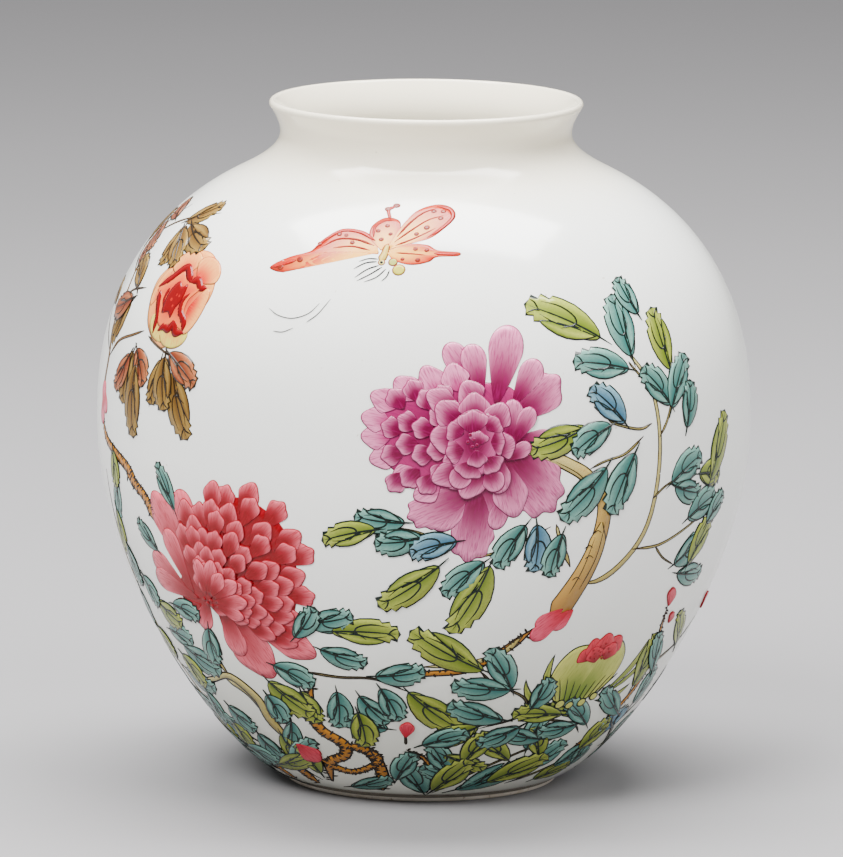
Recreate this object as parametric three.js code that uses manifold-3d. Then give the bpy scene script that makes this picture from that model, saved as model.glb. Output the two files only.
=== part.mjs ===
// Globular porcelain jar with overglaze enamel flowers, as a potter builds it.
// The body is four clay pieces luted together, coated with glaze and painted with raised enamels.
// Millimetres, +Z up. The foot ring stands on z = 0 and the jar's axis is Z. The front faces -Y.
import * as THREE from "three";
import { mergeVertices } from "three/addons/utils/BufferGeometryUtils.js";
import { TessellateModifier } from "three/addons/modifiers/TessellateModifier.js";
import Module from "manifold-3d";

const wasm = await Module();
wasm.setup();

// Overall form, measured over the glaze
const jarHeight = 185;
const bellyRadius = 88.2;
const bellyHeight = 97.2;
const lipRadius = 42.2;
const neckRadius = 39.2;
const neckDrop = 8.7; // from the lip's crest down to the narrowest part of the neck
const neckRise = 10.8; // from the end of the shoulder up to the narrowest part of the neck
const neckSpread = 11.7; // how far the end of the shoulder stands outside the neck

// How full the curves are: lengths of the tangents that draw them
const underBellyTangent = 41;
const footTangent = 16.8;
const overBellyTangent = 9.1;
const shoulderTangent = 44;
const neckTangent = 8;
const waistTangent = 4;
const footSlope = THREE.MathUtils.degToRad(14.8);
const shoulderSlope = THREE.MathUtils.degToRad(26.6);
const lipFlare = THREE.MathUtils.degToRad(35);

// Clay walls
const bellyWall = 4.4;
const neckWall = 3.4;
const lipThickness = 2.2;
const floorThickness = 5.6;
const floorReach = 30; // flat-running part of the bowl's floor

// Foot ring
const footRadius = 37.3; // over the glaze
const footWidth = 5.4;
const footRecess = 4.5; // depth of the hollow under the base
const footRise = 1.7; // outer face of the foot ring that shows below the body
const footBevel = 0.9;

// Coats
const glazeThickness = 0.3;
const bondGap = 0.02; // between the clay and its glaze
const enamelGap = 0.3;
const enamelThickness = 0.5;

// How finely the round forms are cut
const turns = 36;
const bellySteps = 6;
const neckSteps = 3;
const lipSteps = 4;
const longestEdge = 11;

const white = { color: 0xeef0ea, roughness: 0.12, metalness: 0 };
const clay = { color: 0xe6e1d6, roughness: 0.75, metalness: 0 };
const jar = new THREE.Group();

function add(name, geometry, finish) {
  const mesh = new THREE.Mesh(geometry, new THREE.MeshStandardMaterial(finish));
  mesh.name = name;
  jar.add(mesh);
}

// Turns an outline of (radius, height) points about the jar's axis, closed on itself or on the axis
function turn(name, outline, finish) {
  const closed = outline[0].x > 0 ? [...outline, outline[0]] : outline;
  const geometry = new THREE.LatheGeometry(closed, turns);
  geometry.rotateX(Math.PI / 2);
  add(name, geometry, finish);
}

// ---- The jar's outer line, from the foot to the lip ----

const at = (r, z) => new THREE.Vector2(r, z);
const along = (angle, length) => at(Math.cos(angle) * length, Math.sin(angle) * length);

const footJoin = at(footRadius, footRise);
const belly = at(bellyRadius, bellyHeight);
const waist = at(neckRadius, jarHeight - neckDrop);
const shoulderEnd = at(neckRadius + neckSpread, waist.y - neckRise);
const lipCentre = at(lipRadius - lipThickness / 2, jarHeight - lipThickness / 2);
const lipStart = along(-lipFlare, lipThickness / 2).add(lipCentre);

const shoulderWay = along(Math.PI - shoulderSlope, 1);
const flareWay = along(Math.PI / 2 - lipFlare, 1);
const flareTangent = (lipStart.y - waist.y) / 3;

const lowerLine = new THREE.CubicBezierCurve(
  footJoin,
  along(footSlope, footTangent).add(footJoin),
  at(bellyRadius, bellyHeight - underBellyTangent),
  belly,
);
const shoulderLine = new THREE.CubicBezierCurve(
  belly,
  at(bellyRadius, bellyHeight + overBellyTangent),
  shoulderEnd.clone().addScaledVector(shoulderWay, -shoulderTangent),
  shoulderEnd,
);
const neckLine = new THREE.CubicBezierCurve(
  shoulderEnd,
  shoulderEnd.clone().addScaledVector(shoulderWay, neckTangent),
  at(neckRadius, waist.y - waistTangent),
  waist,
);
const flareLine = new THREE.CubicBezierCurve(
  waist,
  at(neckRadius, waist.y + flareTangent),
  lipStart.clone().addScaledVector(flareWay, -flareTangent),
  lipStart,
);

// Points of a line, each moved inwards from the surface by a depth that runs from one value to another
function inset(line, steps, depthFrom, depthTo = depthFrom) {
  return Array.from({ length: steps + 1 }, (_, i) => {
    const t = i / steps;
    const way = line.getTangent(t);
    const depth = THREE.MathUtils.lerp(depthFrom, depthTo, t);
    return line.getPoint(t).add(at(-way.y, way.x).multiplyScalar(depth));
  });
}

// One surface through the wall, from the foot or the floor to the lip. Pieces that meet at a seam
// are cut from the same surfaces, so they share the seam's points.
const bellySeam = bellySteps;
const neckSeam = 2 * bellySteps;
const middleWall = (neckWall + lipThickness) / 2;

function surface(lower, bellyDepth, neckDepth, middleDepth, lipDepth) {
  return [
    ...lower,
    ...inset(shoulderLine, bellySteps, bellyDepth, neckDepth).slice(1),
    ...inset(neckLine, neckSteps, neckDepth, middleDepth).slice(1),
    ...inset(flareLine, neckSteps, middleDepth, lipDepth).slice(1),
  ];
}

// A surface at one depth under the outer skin
const under = (depth) =>
  surface(inset(lowerLine, bellySteps, depth), depth, depth, depth, depth);

// The hollow's own line across the floor and up to the belly
const floorHeight = footRecess + floorThickness;
const bowlLine = new THREE.CubicBezierCurve(
  at(0, floorHeight),
  at(floorReach, floorHeight),
  at(bellyRadius - bellyWall, bellyHeight - underBellyTangent),
  at(bellyRadius - bellyWall, bellyHeight),
);

// A surface at one depth behind the face of the hollow
function behind(depth) {
  const walls = [bellyWall, neckWall, middleWall, lipThickness].map((wall) => wall - depth);
  const line = surface(inset(bowlLine, bellySteps, -depth), ...walls);
  line[0].x = 0;
  return line;
}

const clayDepth = glazeThickness + bondGap;
const skin = under(0);
const skinBack = under(glazeThickness);
const outside = under(clayDepth);
const bore = behind(0);
const boreBack = behind(glazeThickness);
const inside = behind(clayDepth);

// Rounded edge of the lip, from its outer side over the crest to its inner side
function lipRound(depth) {
  return Array.from({ length: lipSteps - 1 }, (_, i) =>
    along(-lipFlare + (Math.PI * (i + 1)) / lipSteps, lipThickness / 2 - depth).add(lipCentre),
  );
}
const skinRound = lipRound(0);
const backRound = lipRound(glazeThickness);
const clayRound = lipRound(clayDepth);
const crest = lipSteps / 2 - 1; // where the two outer coats meet

// ---- Clay pieces, from the foot up ----

const ringOuter = footRadius - clayDepth;
const ringInner = footRadius - footWidth;
const glazeEdge = footBevel + glazeThickness;

turn(
  "foot_ring",
  [
    at(ringInner + footBevel, 0),
    at(ringOuter - footBevel, 0),
    at(ringOuter, footBevel),
    at(ringOuter, glazeEdge),
    at(ringOuter, footRise),
    at(ringOuter, footRecess),
    at(ringInner, footRecess),
    at(ringInner, glazeEdge),
    at(ringInner, footBevel),
  ],
  clay,
);

outside[0] = at(ringOuter, footRise);
skinBack[0] = at(footRadius - glazeThickness, footRise);
turn(
  "lower_body",
  [
    at(0, footRecess),
    at(ringInner, footRecess),
    at(ringOuter, footRecess),
    ...outside.slice(0, bellySeam + 1),
    ...inside.slice(0, bellySeam + 1).reverse(),
  ],
  white,
);
turn(
  "upper_body",
  [
    ...outside.slice(bellySeam, neckSeam + 1),
    ...inside.slice(bellySeam, neckSeam + 1).reverse(),
  ],
  white,
);
turn(
  "neck_and_lip",
  [...outside.slice(neckSeam), ...clayRound, ...inside.slice(neckSeam).reverse()],
  white,
);

// ---- Glaze coats, which meet on the crest of the lip ----

turn(
  "exterior_glaze",
  [
    at(footRadius, glazeEdge),
    ...skin,
    ...skinRound.slice(0, crest + 1),
    ...backRound.slice(0, crest + 1).reverse(),
    ...skinBack.toReversed(),
    at(footRadius - glazeThickness, glazeEdge),
  ],
  white,
);
turn(
  "interior_glaze",
  [
    ...boreBack,
    ...backRound.slice(crest).reverse(),
    ...skinRound.slice(crest),
    ...bore.toReversed(),
  ],
  white,
);

const baseWall = ringInner - bondGap;
const baseCeiling = footRecess - bondGap;
turn(
  "base_glaze",
  [
    at(0, baseCeiling - glazeThickness),
    at(baseWall - glazeThickness, baseCeiling - glazeThickness),
    at(baseWall - glazeThickness, glazeEdge),
    at(baseWall, glazeEdge),
    at(baseWall, baseCeiling),
    at(0, baseCeiling),
  ],
  white,
);

// ---- The painted design, drawn flat on a pattern and laid round the jar ----
// x runs round the jar from the middle of the front, y climbs the wall from the belly line.
// The pattern's halves are stretched to the real lengths of the wall below and above the belly.

const patternHalf = 277; // half way round
const patternBelow = 112;
const patternAbove = 84;

function onJar(x, y, lift) {
  const line = y < 0 ? lowerLine : shoulderLine;
  const share = y < 0 ? 1 + y / patternBelow : y / patternAbove;
  const t = line.getUtoTmapping(THREE.MathUtils.clamp(share, 0, 1));
  const way = line.getTangent(t);
  const point = line.getPoint(t).add(at(way.y, -way.x).multiplyScalar(lift));
  const angle = (x / patternHalf) * Math.PI;
  return new THREE.Vector3(Math.sin(angle) * point.x, -Math.cos(angle) * point.x, point.y);
}

// Bends a geometry whose x and y lie on the pattern and whose z is its thickness
function lay(name, geometry, finish) {
  const place = geometry.getAttribute("position");
  for (let i = 0; i < place.count; i++) {
    const point = onJar(place.getX(i), place.getY(i), enamelGap + place.getZ(i));
    place.setXYZ(i, point.x, point.y, point.z);
  }
  geometry.computeVertexNormals();
  add(name, geometry, finish);
}

// A blossom: a low dome on a flat underside, with petals round its edge
function blossom(name, { x, y, wide, high, lean, petals, edge }, finish) {
  const rings = Math.ceil(Math.max(wide, high) / longestEdge) + 1;
  const shares = Array.from({ length: rings + 1 }, (_, i) => i / rings);
  const underside = shares.map((out) => at(out, 0));
  const face = shares.slice(0, -1).map((out) => at(out, 1 - out * out));
  const geometry = new THREE.LatheGeometry([...underside, ...face.reverse()], petals * 4);
  geometry.rotateX(Math.PI / 2);
  const place = geometry.getAttribute("position");
  for (let i = 0; i < place.count; i++) {
    const px = place.getX(i);
    const py = place.getY(i);
    const notch = edge * (0.5 + 0.5 * Math.cos(Math.atan2(py, px) * petals)) * Math.hypot(px, py);
    const point = at(px * wide, py * high).multiplyScalar(1 - notch);
    point.rotateAround(at(0, 0), lean).add(at(x, y));
    place.setXYZ(i, point.x, point.y, place.getZ(i) * enamelThickness);
  }
  lay(name, geometry, finish);
}

// A solid of manifold-3d from a closed extrusion
function solid(geometry) {
  const bare = new THREE.BufferGeometry();
  bare.setAttribute("position", geometry.getAttribute("position"));
  const merged = mergeVertices(bare, 1e-4);
  return new wasm.Manifold(
    new wasm.Mesh({
      numProp: 3,
      vertProperties: merged.getAttribute("position").array,
      triVerts: new Uint32Array(merged.index.array),
    }),
  );
}

// Flat shapes joined into one plate, cut finely enough to follow the wall
function plate(name, shapes, finish) {
  const slab = { depth: enamelThickness, bevelEnabled: false, curveSegments: 2 };
  const parts = shapes.map((shape) => solid(new THREE.ExtrudeGeometry(shape, slab)));
  const whole = parts.reduce((sum, part) => sum.add(part)).getMesh();
  const geometry = new THREE.BufferGeometry();
  geometry.setAttribute("position", new THREE.BufferAttribute(whole.vertProperties, 3));
  geometry.setIndex(new THREE.BufferAttribute(whole.triVerts, 1));
  lay(name, new TessellateModifier(longestEdge, 8).modify(geometry.toNonIndexed()), finish);
}

// A pointed wing from its root, along a heading in degrees
function wing(x, y, heading, length, width) {
  const way = along(THREE.MathUtils.degToRad(heading), length);
  const side = along(THREE.MathUtils.degToRad(heading + 90), width);
  const shape = new THREE.Shape();
  shape.moveTo(x, y);
  shape.quadraticCurveTo(x + way.x / 2 + side.x, y + way.y / 2 + side.y, x + way.x, y + way.y);
  shape.quadraticCurveTo(x + way.x / 2 - side.x, y + way.y / 2 - side.y, x, y);
  return shape;
}

// A stem of even width through a few points of the pattern
function stem(points, width) {
  const line = new THREE.SplineCurve(points.map(([x, y]) => at(x, y)));
  const steps = points.length * 2;
  const edge = (side) =>
    Array.from({ length: steps + 1 }, (_, i) => {
      const way = line.getTangent(i / steps);
      return line.getPoint(i / steps).add(at(-way.y, way.x).multiplyScalar((side * width) / 2));
    });
  return new THREE.Shape([...edge(-1), ...edge(1).reverse()]);
}

const leafLength = 14;
const stemWidth = 1.6;
const trunkWidth = 4.2;

// A leaf of three pointed lobes, drawn on a length of 1 from its stalk
const lobes = [
  [-0.06, -0.07],
  [0.2, -0.24],
  [0.68, -0.5],
  [0.56, -0.17],
  [1, 0],
  [0.56, 0.17],
  [0.68, 0.5],
  [0.2, 0.24],
  [-0.06, 0.07],
];

// Leaves that grow from joints of a stem: [x, y, heading in degrees]
const leaves = (places) =>
  places.map(([x, y, heading]) => {
    const turned = THREE.MathUtils.degToRad(heading);
    const outline = lobes.map(([u, v]) =>
      at(u * leafLength, v * leafLength).rotateAround(at(0, 0), turned).add(at(x, y)),
    );
    return new THREE.Shape(outline);
  });

blossom(
  "purple_peony_enamel",
  { x: 10.5, y: 9, wide: 28, high: 31, lean: -0.15, petals: 11, edge: 0.22 },
  { color: 0xb86a9c, roughness: 0.25, metalness: 0 },
);
blossom(
  "pink_peony_enamel",
  { x: -61, y: -33, wide: 30, high: 29, lean: 0.1, petals: 12, edge: 0.2 },
  { color: 0xdf6f7c, roughness: 0.25, metalness: 0 },
);
blossom(
  "yellow_peony_enamel",
  { x: -84, y: 42, wide: 13.5, high: 14, lean: -0.3, petals: 8, edge: 0.12 },
  { color: 0xe8b070, roughness: 0.25, metalness: 0 },
);
blossom(
  "green_bud_enamel",
  { x: 60, y: -58, wide: 12, high: 11, lean: -0.4, petals: 6, edge: 0.2 },
  { color: 0xa9b45a, roughness: 0.25, metalness: 0 },
);
blossom(
  "back_peony_enamel",
  { x: patternHalf, y: 4, wide: 28, high: 28, lean: 0.2, petals: 12, edge: 0.22 },
  { color: 0xd98aa0, roughness: 0.25, metalness: 0 },
);

const butterflyX = -14;
const butterflyY = 62;
plate(
  "butterfly_enamel",
  [
    stem([[butterflyX - 3, butterflyY + 3], [butterflyX + 5, butterflyY - 7]], trunkWidth),
    wing(butterflyX, butterflyY, 196, 38, 5),
    wing(butterflyX, butterflyY, 160, 20, 6),
    wing(butterflyX, butterflyY, 82, 18, 6),
    wing(butterflyX, butterflyY, 30, 34, 8),
    wing(butterflyX, butterflyY, 4, 30, 6),
  ],
  { color: 0xe59a6a, roughness: 0.25, metalness: 0 },
);

const branchGreen = { color: 0x6fa08a, roughness: 0.25, metalness: 0 };

plate(
  "right_branch_enamel",
  [
    stem([[38, -44], [44, -36], [49, -24], [51, -8], [46, 0]], trunkWidth),
    stem([[46, -32], [56, -30], [66, -16], [68, 8], [58, 34]], stemWidth),
    stem([[67, -10], [84, -12], [98, -6]], stemWidth),
    stem([[68, 4], [76, 10], [80, 24]], stemWidth),
    ...leaves([
      [58, 34, 120],
      [62, 24, 60],
      [68, 12, 150],
      [80, 24, 80],
      [98, -6, 20],
      [84, -12, -70],
      [50, -14, 10],
    ]),
  ],
  branchGreen,
);

plate(
  "left_branch_enamel",
  [
    stem([[-94, -12], [-104, -4], [-120, 0], [-126, 20], [-112, 34]], stemWidth),
    stem([[-126, 18], [-122, 46], [-106, 62]], stemWidth),
    ...leaves([
      [-106, 62, 20],
      [-122, 46, 150],
      [-112, 34, -60],
      [-120, 0, 200],
      [-104, -4, 70],
    ]),
  ],
  { color: 0x7f8a4e, roughness: 0.25, metalness: 0 },
);

// Leafy ground that grows out of the foot, wave after wave
function ground(name, from, to, waves) {
  const span = (to - from) / waves;
  const wave = Array.from({ length: waves * 2 + 1 }, (_, i) => [
    from + (i * span) / 2,
    i % 2 ? -92 : -84,
  ]);
  const tufts = wave
    .slice(0, -1)
    .map(([x, y], i) => [x + span / 4, y / 2 + wave[i + 1][1] / 2, i % 2 ? 70 : 110]);
  plate(name, [stem(wave, stemWidth), ...leaves(tufts)], branchGreen);
}
ground("front_ground_enamel", -100, 112, 5);
ground("back_ground_enamel", patternHalf - 120, patternHalf + 120, 6);

plate(
  "back_branch_enamel",
  [
    stem([[patternHalf - 6, -60], [patternHalf + 20, -48], [patternHalf + 46, -24]], trunkWidth),
    stem([[patternHalf + 44, -26], [patternHalf + 54, 6], [patternHalf + 40, 40]], stemWidth),
    stem([[patternHalf + 10, -53], [patternHalf - 30, -40], [patternHalf - 48, -16]], stemWidth),
    ...leaves([
      [patternHalf + 40, 40, 120],
      [patternHalf + 54, 6, 20],
      [patternHalf + 46, -24, -30],
      [patternHalf - 48, -16, 100],
      [patternHalf - 30, -40, 200],
    ]),
  ],
  branchGreen,
);

export default jar;
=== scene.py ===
import bmesh
import bpy
import numpy as np
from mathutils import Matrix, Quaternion, Vector


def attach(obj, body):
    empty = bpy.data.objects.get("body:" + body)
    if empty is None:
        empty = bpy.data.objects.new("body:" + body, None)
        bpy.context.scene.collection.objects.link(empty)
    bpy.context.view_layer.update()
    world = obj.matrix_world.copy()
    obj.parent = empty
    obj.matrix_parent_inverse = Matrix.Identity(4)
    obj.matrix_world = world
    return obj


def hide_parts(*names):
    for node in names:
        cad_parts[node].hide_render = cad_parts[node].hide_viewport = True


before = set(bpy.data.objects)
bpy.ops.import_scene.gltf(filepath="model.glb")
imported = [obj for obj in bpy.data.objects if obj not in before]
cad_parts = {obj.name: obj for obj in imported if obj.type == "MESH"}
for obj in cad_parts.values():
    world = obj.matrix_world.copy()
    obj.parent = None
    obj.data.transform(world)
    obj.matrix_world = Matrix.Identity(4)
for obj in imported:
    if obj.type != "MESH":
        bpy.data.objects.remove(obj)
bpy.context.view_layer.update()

# ---- Setting: camera, floor and lamps --------------------------------------
# A jar stands alone on a pale studio floor under one broad overhead softbox,
# with two weak side panels and an even, light surround.


class Level:
    """A shader value. Arithmetic on it adds Math nodes to the same node tree."""

    def __init__(self, socket):
        self.socket = socket

    def math(self, operation, first, second):
        tree = self.socket.id_data
        node = tree.nodes.new("ShaderNodeMath")
        node.operation = operation
        for slot, value in zip(node.inputs, (first, second)):
            if isinstance(value, Level):
                tree.links.new(value.socket, slot)
            else:
                slot.default_value = value
        return Level(node.outputs[0])

    def __add__(self, other):
        return self.math("ADD", self, other)

    def __rsub__(self, other):
        return self.math("SUBTRACT", other, self)

    def __mul__(self, other):
        return self.math("MULTIPLY", self, other)

    __radd__ = __add__
    __rmul__ = __mul__


class Finish:
    """One material: its Principled shader, and one method that adds any other node."""

    def __init__(self, name, **constants):
        self.material = bpy.data.materials.new(name)
        self.material.use_nodes = True
        self.tree = self.material.node_tree
        self.shader = self.tree.nodes["Principled BSDF"]
        self.shade(**constants)

    def feed(self, node, inputs):
        """Links each shader value to the node's input of that name, or sets a constant."""
        for key, value in inputs.items():
            if isinstance(value, Level):
                self.tree.links.new(value.socket, node.inputs[key])
            else:
                node.inputs[key].default_value = value

    def shade(self, **inputs):
        self.feed(self.shader, {key.replace("_", " "): value for key, value in inputs.items()})

    def node(self, kind, settings=None, inputs=None, output=0):
        node = self.tree.nodes.new("ShaderNode" + kind)
        for key, value in (settings or {}).items():
            setattr(node, key, value)
        self.feed(node, inputs or {})
        return Level(node.outputs[output])

    def mix(self, under, over, share):
        """The colour under, covered by the colour over in the given share."""
        inputs = {0: share, 6: under, 7: over}
        return self.node("Mix", {"data_type": "RGBA"}, inputs, 2)

    def step(self, value, low, high):
        """0 below low and 1 above high, with a smooth rise between."""
        inputs = {0: value, 1: low, 2: high}
        return self.node("MapRange", {"interpolation_type": "SMOOTHSTEP"}, inputs)

    def noise(self, where, scale, detail=3.0):
        return self.node("TexNoise", None, {"Vector": where, "Scale": scale, "Detail": detail})

    def bump(self, height, distance):
        """Relief in the finish: a height of 0 to 1 stands for the distance in metres."""
        self.shade(Normal=self.node("Bump", None, {"Height": height, "Distance": distance}))


def ink(red, green, blue):
    """A colour chosen on the 0 to 255 display scale, as linear light with full cover."""
    return tuple(float(c) for c in (np.array([red, green, blue]) / 255) ** 2.2) + (1.0,)


camera_place = Vector((-0.0006, -2.4, 0.51))
camera_target = Vector((-0.0006, 0, 0.0952))
camera_roll = Quaternion((0, 0, 1), np.radians(0.45))
camera_data = bpy.data.cameras.new("camera")
camera_data.lens = 378.6
camera = bpy.data.objects.new("camera", camera_data)
camera.location = camera_place
camera.rotation_mode = "QUATERNION"
camera.rotation_quaternion = (camera_target - camera_place).to_track_quat("-Z", "Y") @ camera_roll
bpy.context.scene.collection.objects.link(camera)
bpy.context.scene.camera = camera

floor_reach = 15.0
floor_mesh = bpy.data.meshes.new("floor")
floor_corners = [(x * floor_reach, y * floor_reach, 0) for x, y in ((-1, -1), (1, -1), (1, 1), (-1, 1))]
floor_mesh.from_pydata(floor_corners, [], [(0, 1, 2, 3)])
floor = bpy.data.objects.new("floor", floor_mesh)
bpy.context.scene.collection.objects.link(floor)
paper = Finish("floor_paper", Roughness=0.9)
paper_place = paper.node("TexCoord", output=3)
paper_cloud = paper.noise(paper_place, 1.5)
paper.shade(Base_Color=paper.mix(ink(130, 129, 130), ink(136, 134, 135), paper_cloud))
floor_mesh.materials.append(paper.material)

surround = bpy.data.worlds.new("surround")
surround.use_nodes = True
surround.node_tree.nodes["Background"].inputs["Color"].default_value = (0.72, 0.72, 0.74, 1)
surround.node_tree.nodes["Background"].inputs["Strength"].default_value = 0.46
bpy.context.scene.world = surround

lamps_target = Vector((0, 0, 0.12))
for lamp_name, place, size, watts in (
    ("overhead_softbox", (0.0, 0.16, 1.2), (1.15, 0.56), 58.0),
    ("left_panel", (-1.05, -1.6, 2.1), (1.2, 1.2), 165.0),
    ("right_panel", (1.5, -1.3, 1.6), (1.0, 1.4), 46.0),
):
    lamp_data = bpy.data.lights.new(lamp_name, "AREA")
    lamp_data.shape = "RECTANGLE"
    lamp_data.size, lamp_data.size_y = size
    lamp_data.energy = watts
    lamp = bpy.data.objects.new(lamp_name, lamp_data)
    lamp.location = place
    lamp.visible_glossy = lamp_name == "overhead_softbox"
    lamp.rotation_euler = (lamps_target - lamp.location).to_track_quat("-Z", "Y").to_euler()
    bpy.context.scene.collection.objects.link(lamp)

# ---- Foot ring -------------------------------------------------------------
# The turned foot is the one place where the bare porcelain shows: an even ring,
# wiped clean of glaze so that it does not stick to the kiln shelf.
foot_outer = 36.98
foot_inner = 31.9
foot_height = 4.5
foot_bevel = 0.9


def closed_shell(name, points, quads, layers, values, soft=None):
    """A mesh from whole arrays: points in millimetres, quads, layers of one UV pair for each
    face corner, values of one number or colour for each point, and which faces are shaded
    soft (all, if it isn't given). Equal points become one."""
    mesh = bpy.data.meshes.new(name)
    mesh.from_pydata((points / 1000).tolist(), [], quads.tolist())
    for layer_name, pairs in layers.items():
        layer = mesh.uv_layers.new(name=layer_name)
        layer.uv.foreach_set("vector", pairs.astype(np.float32).ravel())
    for value_name, numbers in values.items():
        kind = "FLOAT" if numbers.ndim == 1 else "FLOAT_COLOR"
        attribute = mesh.attributes.new(value_name, kind, "POINT")
        field = "value" if numbers.ndim == 1 else "color"
        attribute.data.foreach_set(field, numbers.astype(np.float32).ravel())
    mesh.polygons.foreach_set("use_smooth", np.ones(len(quads), bool) if soft is None else soft)
    form = bmesh.new()
    form.from_mesh(mesh)
    bmesh.ops.remove_doubles(form, verts=form.verts, dist=1e-6)
    bmesh.ops.recalc_face_normals(form, faces=form.faces)
    form.to_mesh(mesh)
    form.free()
    piece = bpy.data.objects.new(name, mesh)
    bpy.context.scene.collection.objects.link(piece)
    return piece


def turned(name, outline, turns=240):
    """A closed outline of (radius, height) points carried once round the jar's axis: every
    point becomes a circle, and each pair of neighbouring circles is joined by quads."""
    angle = np.linspace(0, 2 * np.pi, turns, endpoint=False)[None, :]
    radius, height = outline[:, 0, None], outline[:, 1, None]
    points = np.stack([radius * np.sin(angle), -radius * np.cos(angle), height + 0 * angle], -1)
    rows = len(outline)
    row, col = np.meshgrid(np.arange(rows), np.arange(turns), indexing="ij")
    ahead, aside = (row + 1) % rows, (col + 1) % turns
    quads = np.stack([row * turns + col, row * turns + aside, ahead * turns + aside, ahead * turns + col], -1)
    across = np.stack([col, col + 1, col + 1, col], -1) / turns
    along = np.stack([row, row, row + 1, row + 1], -1) / rows
    bake = np.stack([across, along], -1).reshape(-1, 2)
    return closed_shell(name, points.reshape(-1, 3), quads.reshape(-1, 4), {"OFBake": bake}, {})


def finished(piece, node, finish):
    """Gives a piece its material and the jar's one body, and hides the CAD node that it stands in for."""
    piece.data.materials.append(finish.material)
    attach(piece, "root")
    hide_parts(node)


round_over = np.radians(np.linspace(0, 90, 7))[:, None]
bevel_arc = foot_bevel * np.hstack([np.sin(round_over), 1 - np.cos(round_over)])
outer_edge = bevel_arc + (foot_outer - foot_bevel, 0)
inner_edge = (bevel_arc * (-1, 1))[::-1] + (foot_inner + foot_bevel, 0)
foot_outline = np.vstack([[(foot_inner, foot_height)], inner_edge, outer_edge, [(foot_outer, foot_height)]])
foot_piece = turned("foot_ring_clay", foot_outline, 160)

biscuit = Finish("bare_biscuit", Roughness=0.72)
biscuit_place = biscuit.node("TexCoord", output=3)
biscuit_grit = biscuit.noise(biscuit_place, 900.0, 5.0)
biscuit_stain = biscuit.step(biscuit.noise(biscuit_place, 130.0), 0.42, 0.68)
biscuit_clay = biscuit.mix(ink(226, 217, 202), ink(202, 184, 160), biscuit_stain * 0.6)
biscuit.shade(Base_Color=biscuit.mix(biscuit_clay, ink(178, 160, 138), biscuit.step(biscuit_grit, 0.6, 0.75)))
biscuit.bump(biscuit_grit, 0.00025)
finished(foot_piece, "foot_ring", biscuit)

# ---- Body, shoulder, neck and lip of porcelain -----------------------------
# Thrown in two halves luted together at the belly, with the neck and its rolled
# lip set on the shoulder. The clay lies hidden between the two skins of glaze.
belly = (88.2, 97.2)
foot_edge = (37.3, 1.7)
shoulder_end = np.array([50.9, 165.5])
waist = (39.2, 176.3)
lip_centre = np.array([41.1, 183.9])
lip_radius = 1.1
foot_lean = 14.8  # how steeply the wall leaves the foot, in degrees
shoulder_lean = 153.4  # and how steeply it comes over the shoulder
low_pull = 56.2  # the height that the wall below the belly bends towards
inner_floor = 10.1
glaze_depth = 0.3
clay_depth = 0.32


def bezier(corners, count):
    """Points along a cubic Bezier curve: its four corners, each in its Bernstein share."""
    t = np.linspace(0, 1, count)[:, None]
    a, b, c, d = (np.array(corner, float) for corner in corners)
    return (1 - t) ** 3 * a + 3 * t * (1 - t) ** 2 * b + 3 * t**2 * (1 - t) * c + t**3 * d


def heading(degrees):
    """The unit vector at that angle from the first axis."""
    return np.array([np.cos(np.radians(degrees)), np.sin(np.radians(degrees))])


def run_of(line):
    """The line's direction at each of its points, as unit vectors."""
    run = np.gradient(line, axis=0)
    return run / np.linalg.norm(run, axis=1)[:, None]


def inset(line, depth):
    """The line moved by depth to its left, square to its own run."""
    run = run_of(line)
    return line + np.reshape(depth, (-1, 1)) * np.stack([-run[:, 1], run[:, 0]], 1)


def lip_arc(start, end, count):
    """Points round the rolled lip's own circle, from one angle in degrees to another."""
    turn = np.radians(np.linspace(start, end, count))[:, None]
    return lip_centre + lip_radius * np.hstack([np.cos(turn), np.sin(turn)])


lip_start = lip_centre + lip_radius * heading(-35)
flare_pull = (lip_start[1] - waist[1]) / 3
under_belly = bezier([foot_edge, foot_edge + 16.8 * heading(foot_lean), (belly[0], low_pull), belly], 90)
over_belly = bezier([belly, (belly[0], 106.3), shoulder_end - 44 * heading(shoulder_lean), shoulder_end], 60)
neck_bend = bezier([shoulder_end, shoulder_end + 8 * heading(shoulder_lean), (waist[0], 172.3), waist], 18)
flare_pulled = lip_start - flare_pull * heading(55)
flare = bezier([waist, (waist[0], waist[1] + flare_pull), flare_pulled, lip_start], 14)
outside = np.vstack([under_belly, over_belly[1:], neck_bend[1:], flare[1:], lip_arc(-35, 90, 9)[1:]])
above = np.vstack([over_belly, neck_bend[1:], flare[1:]])
wall_heights = (belly[1], shoulder_end[1], waist[1], 183.2)
wall_depths = (4.4, 3.4, 2.8, 2.2)
above_wall = np.interp(above[:, 1], wall_heights, wall_depths)
inner_wall = inset(above, above_wall)[::-1]
bowl_reach = belly[0] - wall_depths[0]
bowl_start = [(bowl_reach, belly[1]), (bowl_reach, low_pull)]
bowl = bezier([*bowl_start, (30, inner_floor), (0, inner_floor)], 60)
inside = np.vstack([lip_arc(90, 145, 6), inner_wall[1:], bowl[1:]])


def between(line, low, high):
    """The points of the line whose heights lie from low to high."""
    return line[(line[:, 1] >= low) & (line[:, 1] <= high)]


clay_outside = inset(outside, clay_depth)
clay_inside = inset(inside, clay_depth)
clay_inside[-1, 0] = 0
porcelain = Finish("fired_porcelain", Roughness=0.55)
porcelain_place = porcelain.node("TexCoord", output=3)
porcelain_cloud = porcelain.noise(porcelain_place, 60.0)
porcelain.shade(Base_Color=porcelain.mix(ink(240, 238, 232), ink(228, 226, 218), porcelain_cloud))

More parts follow.
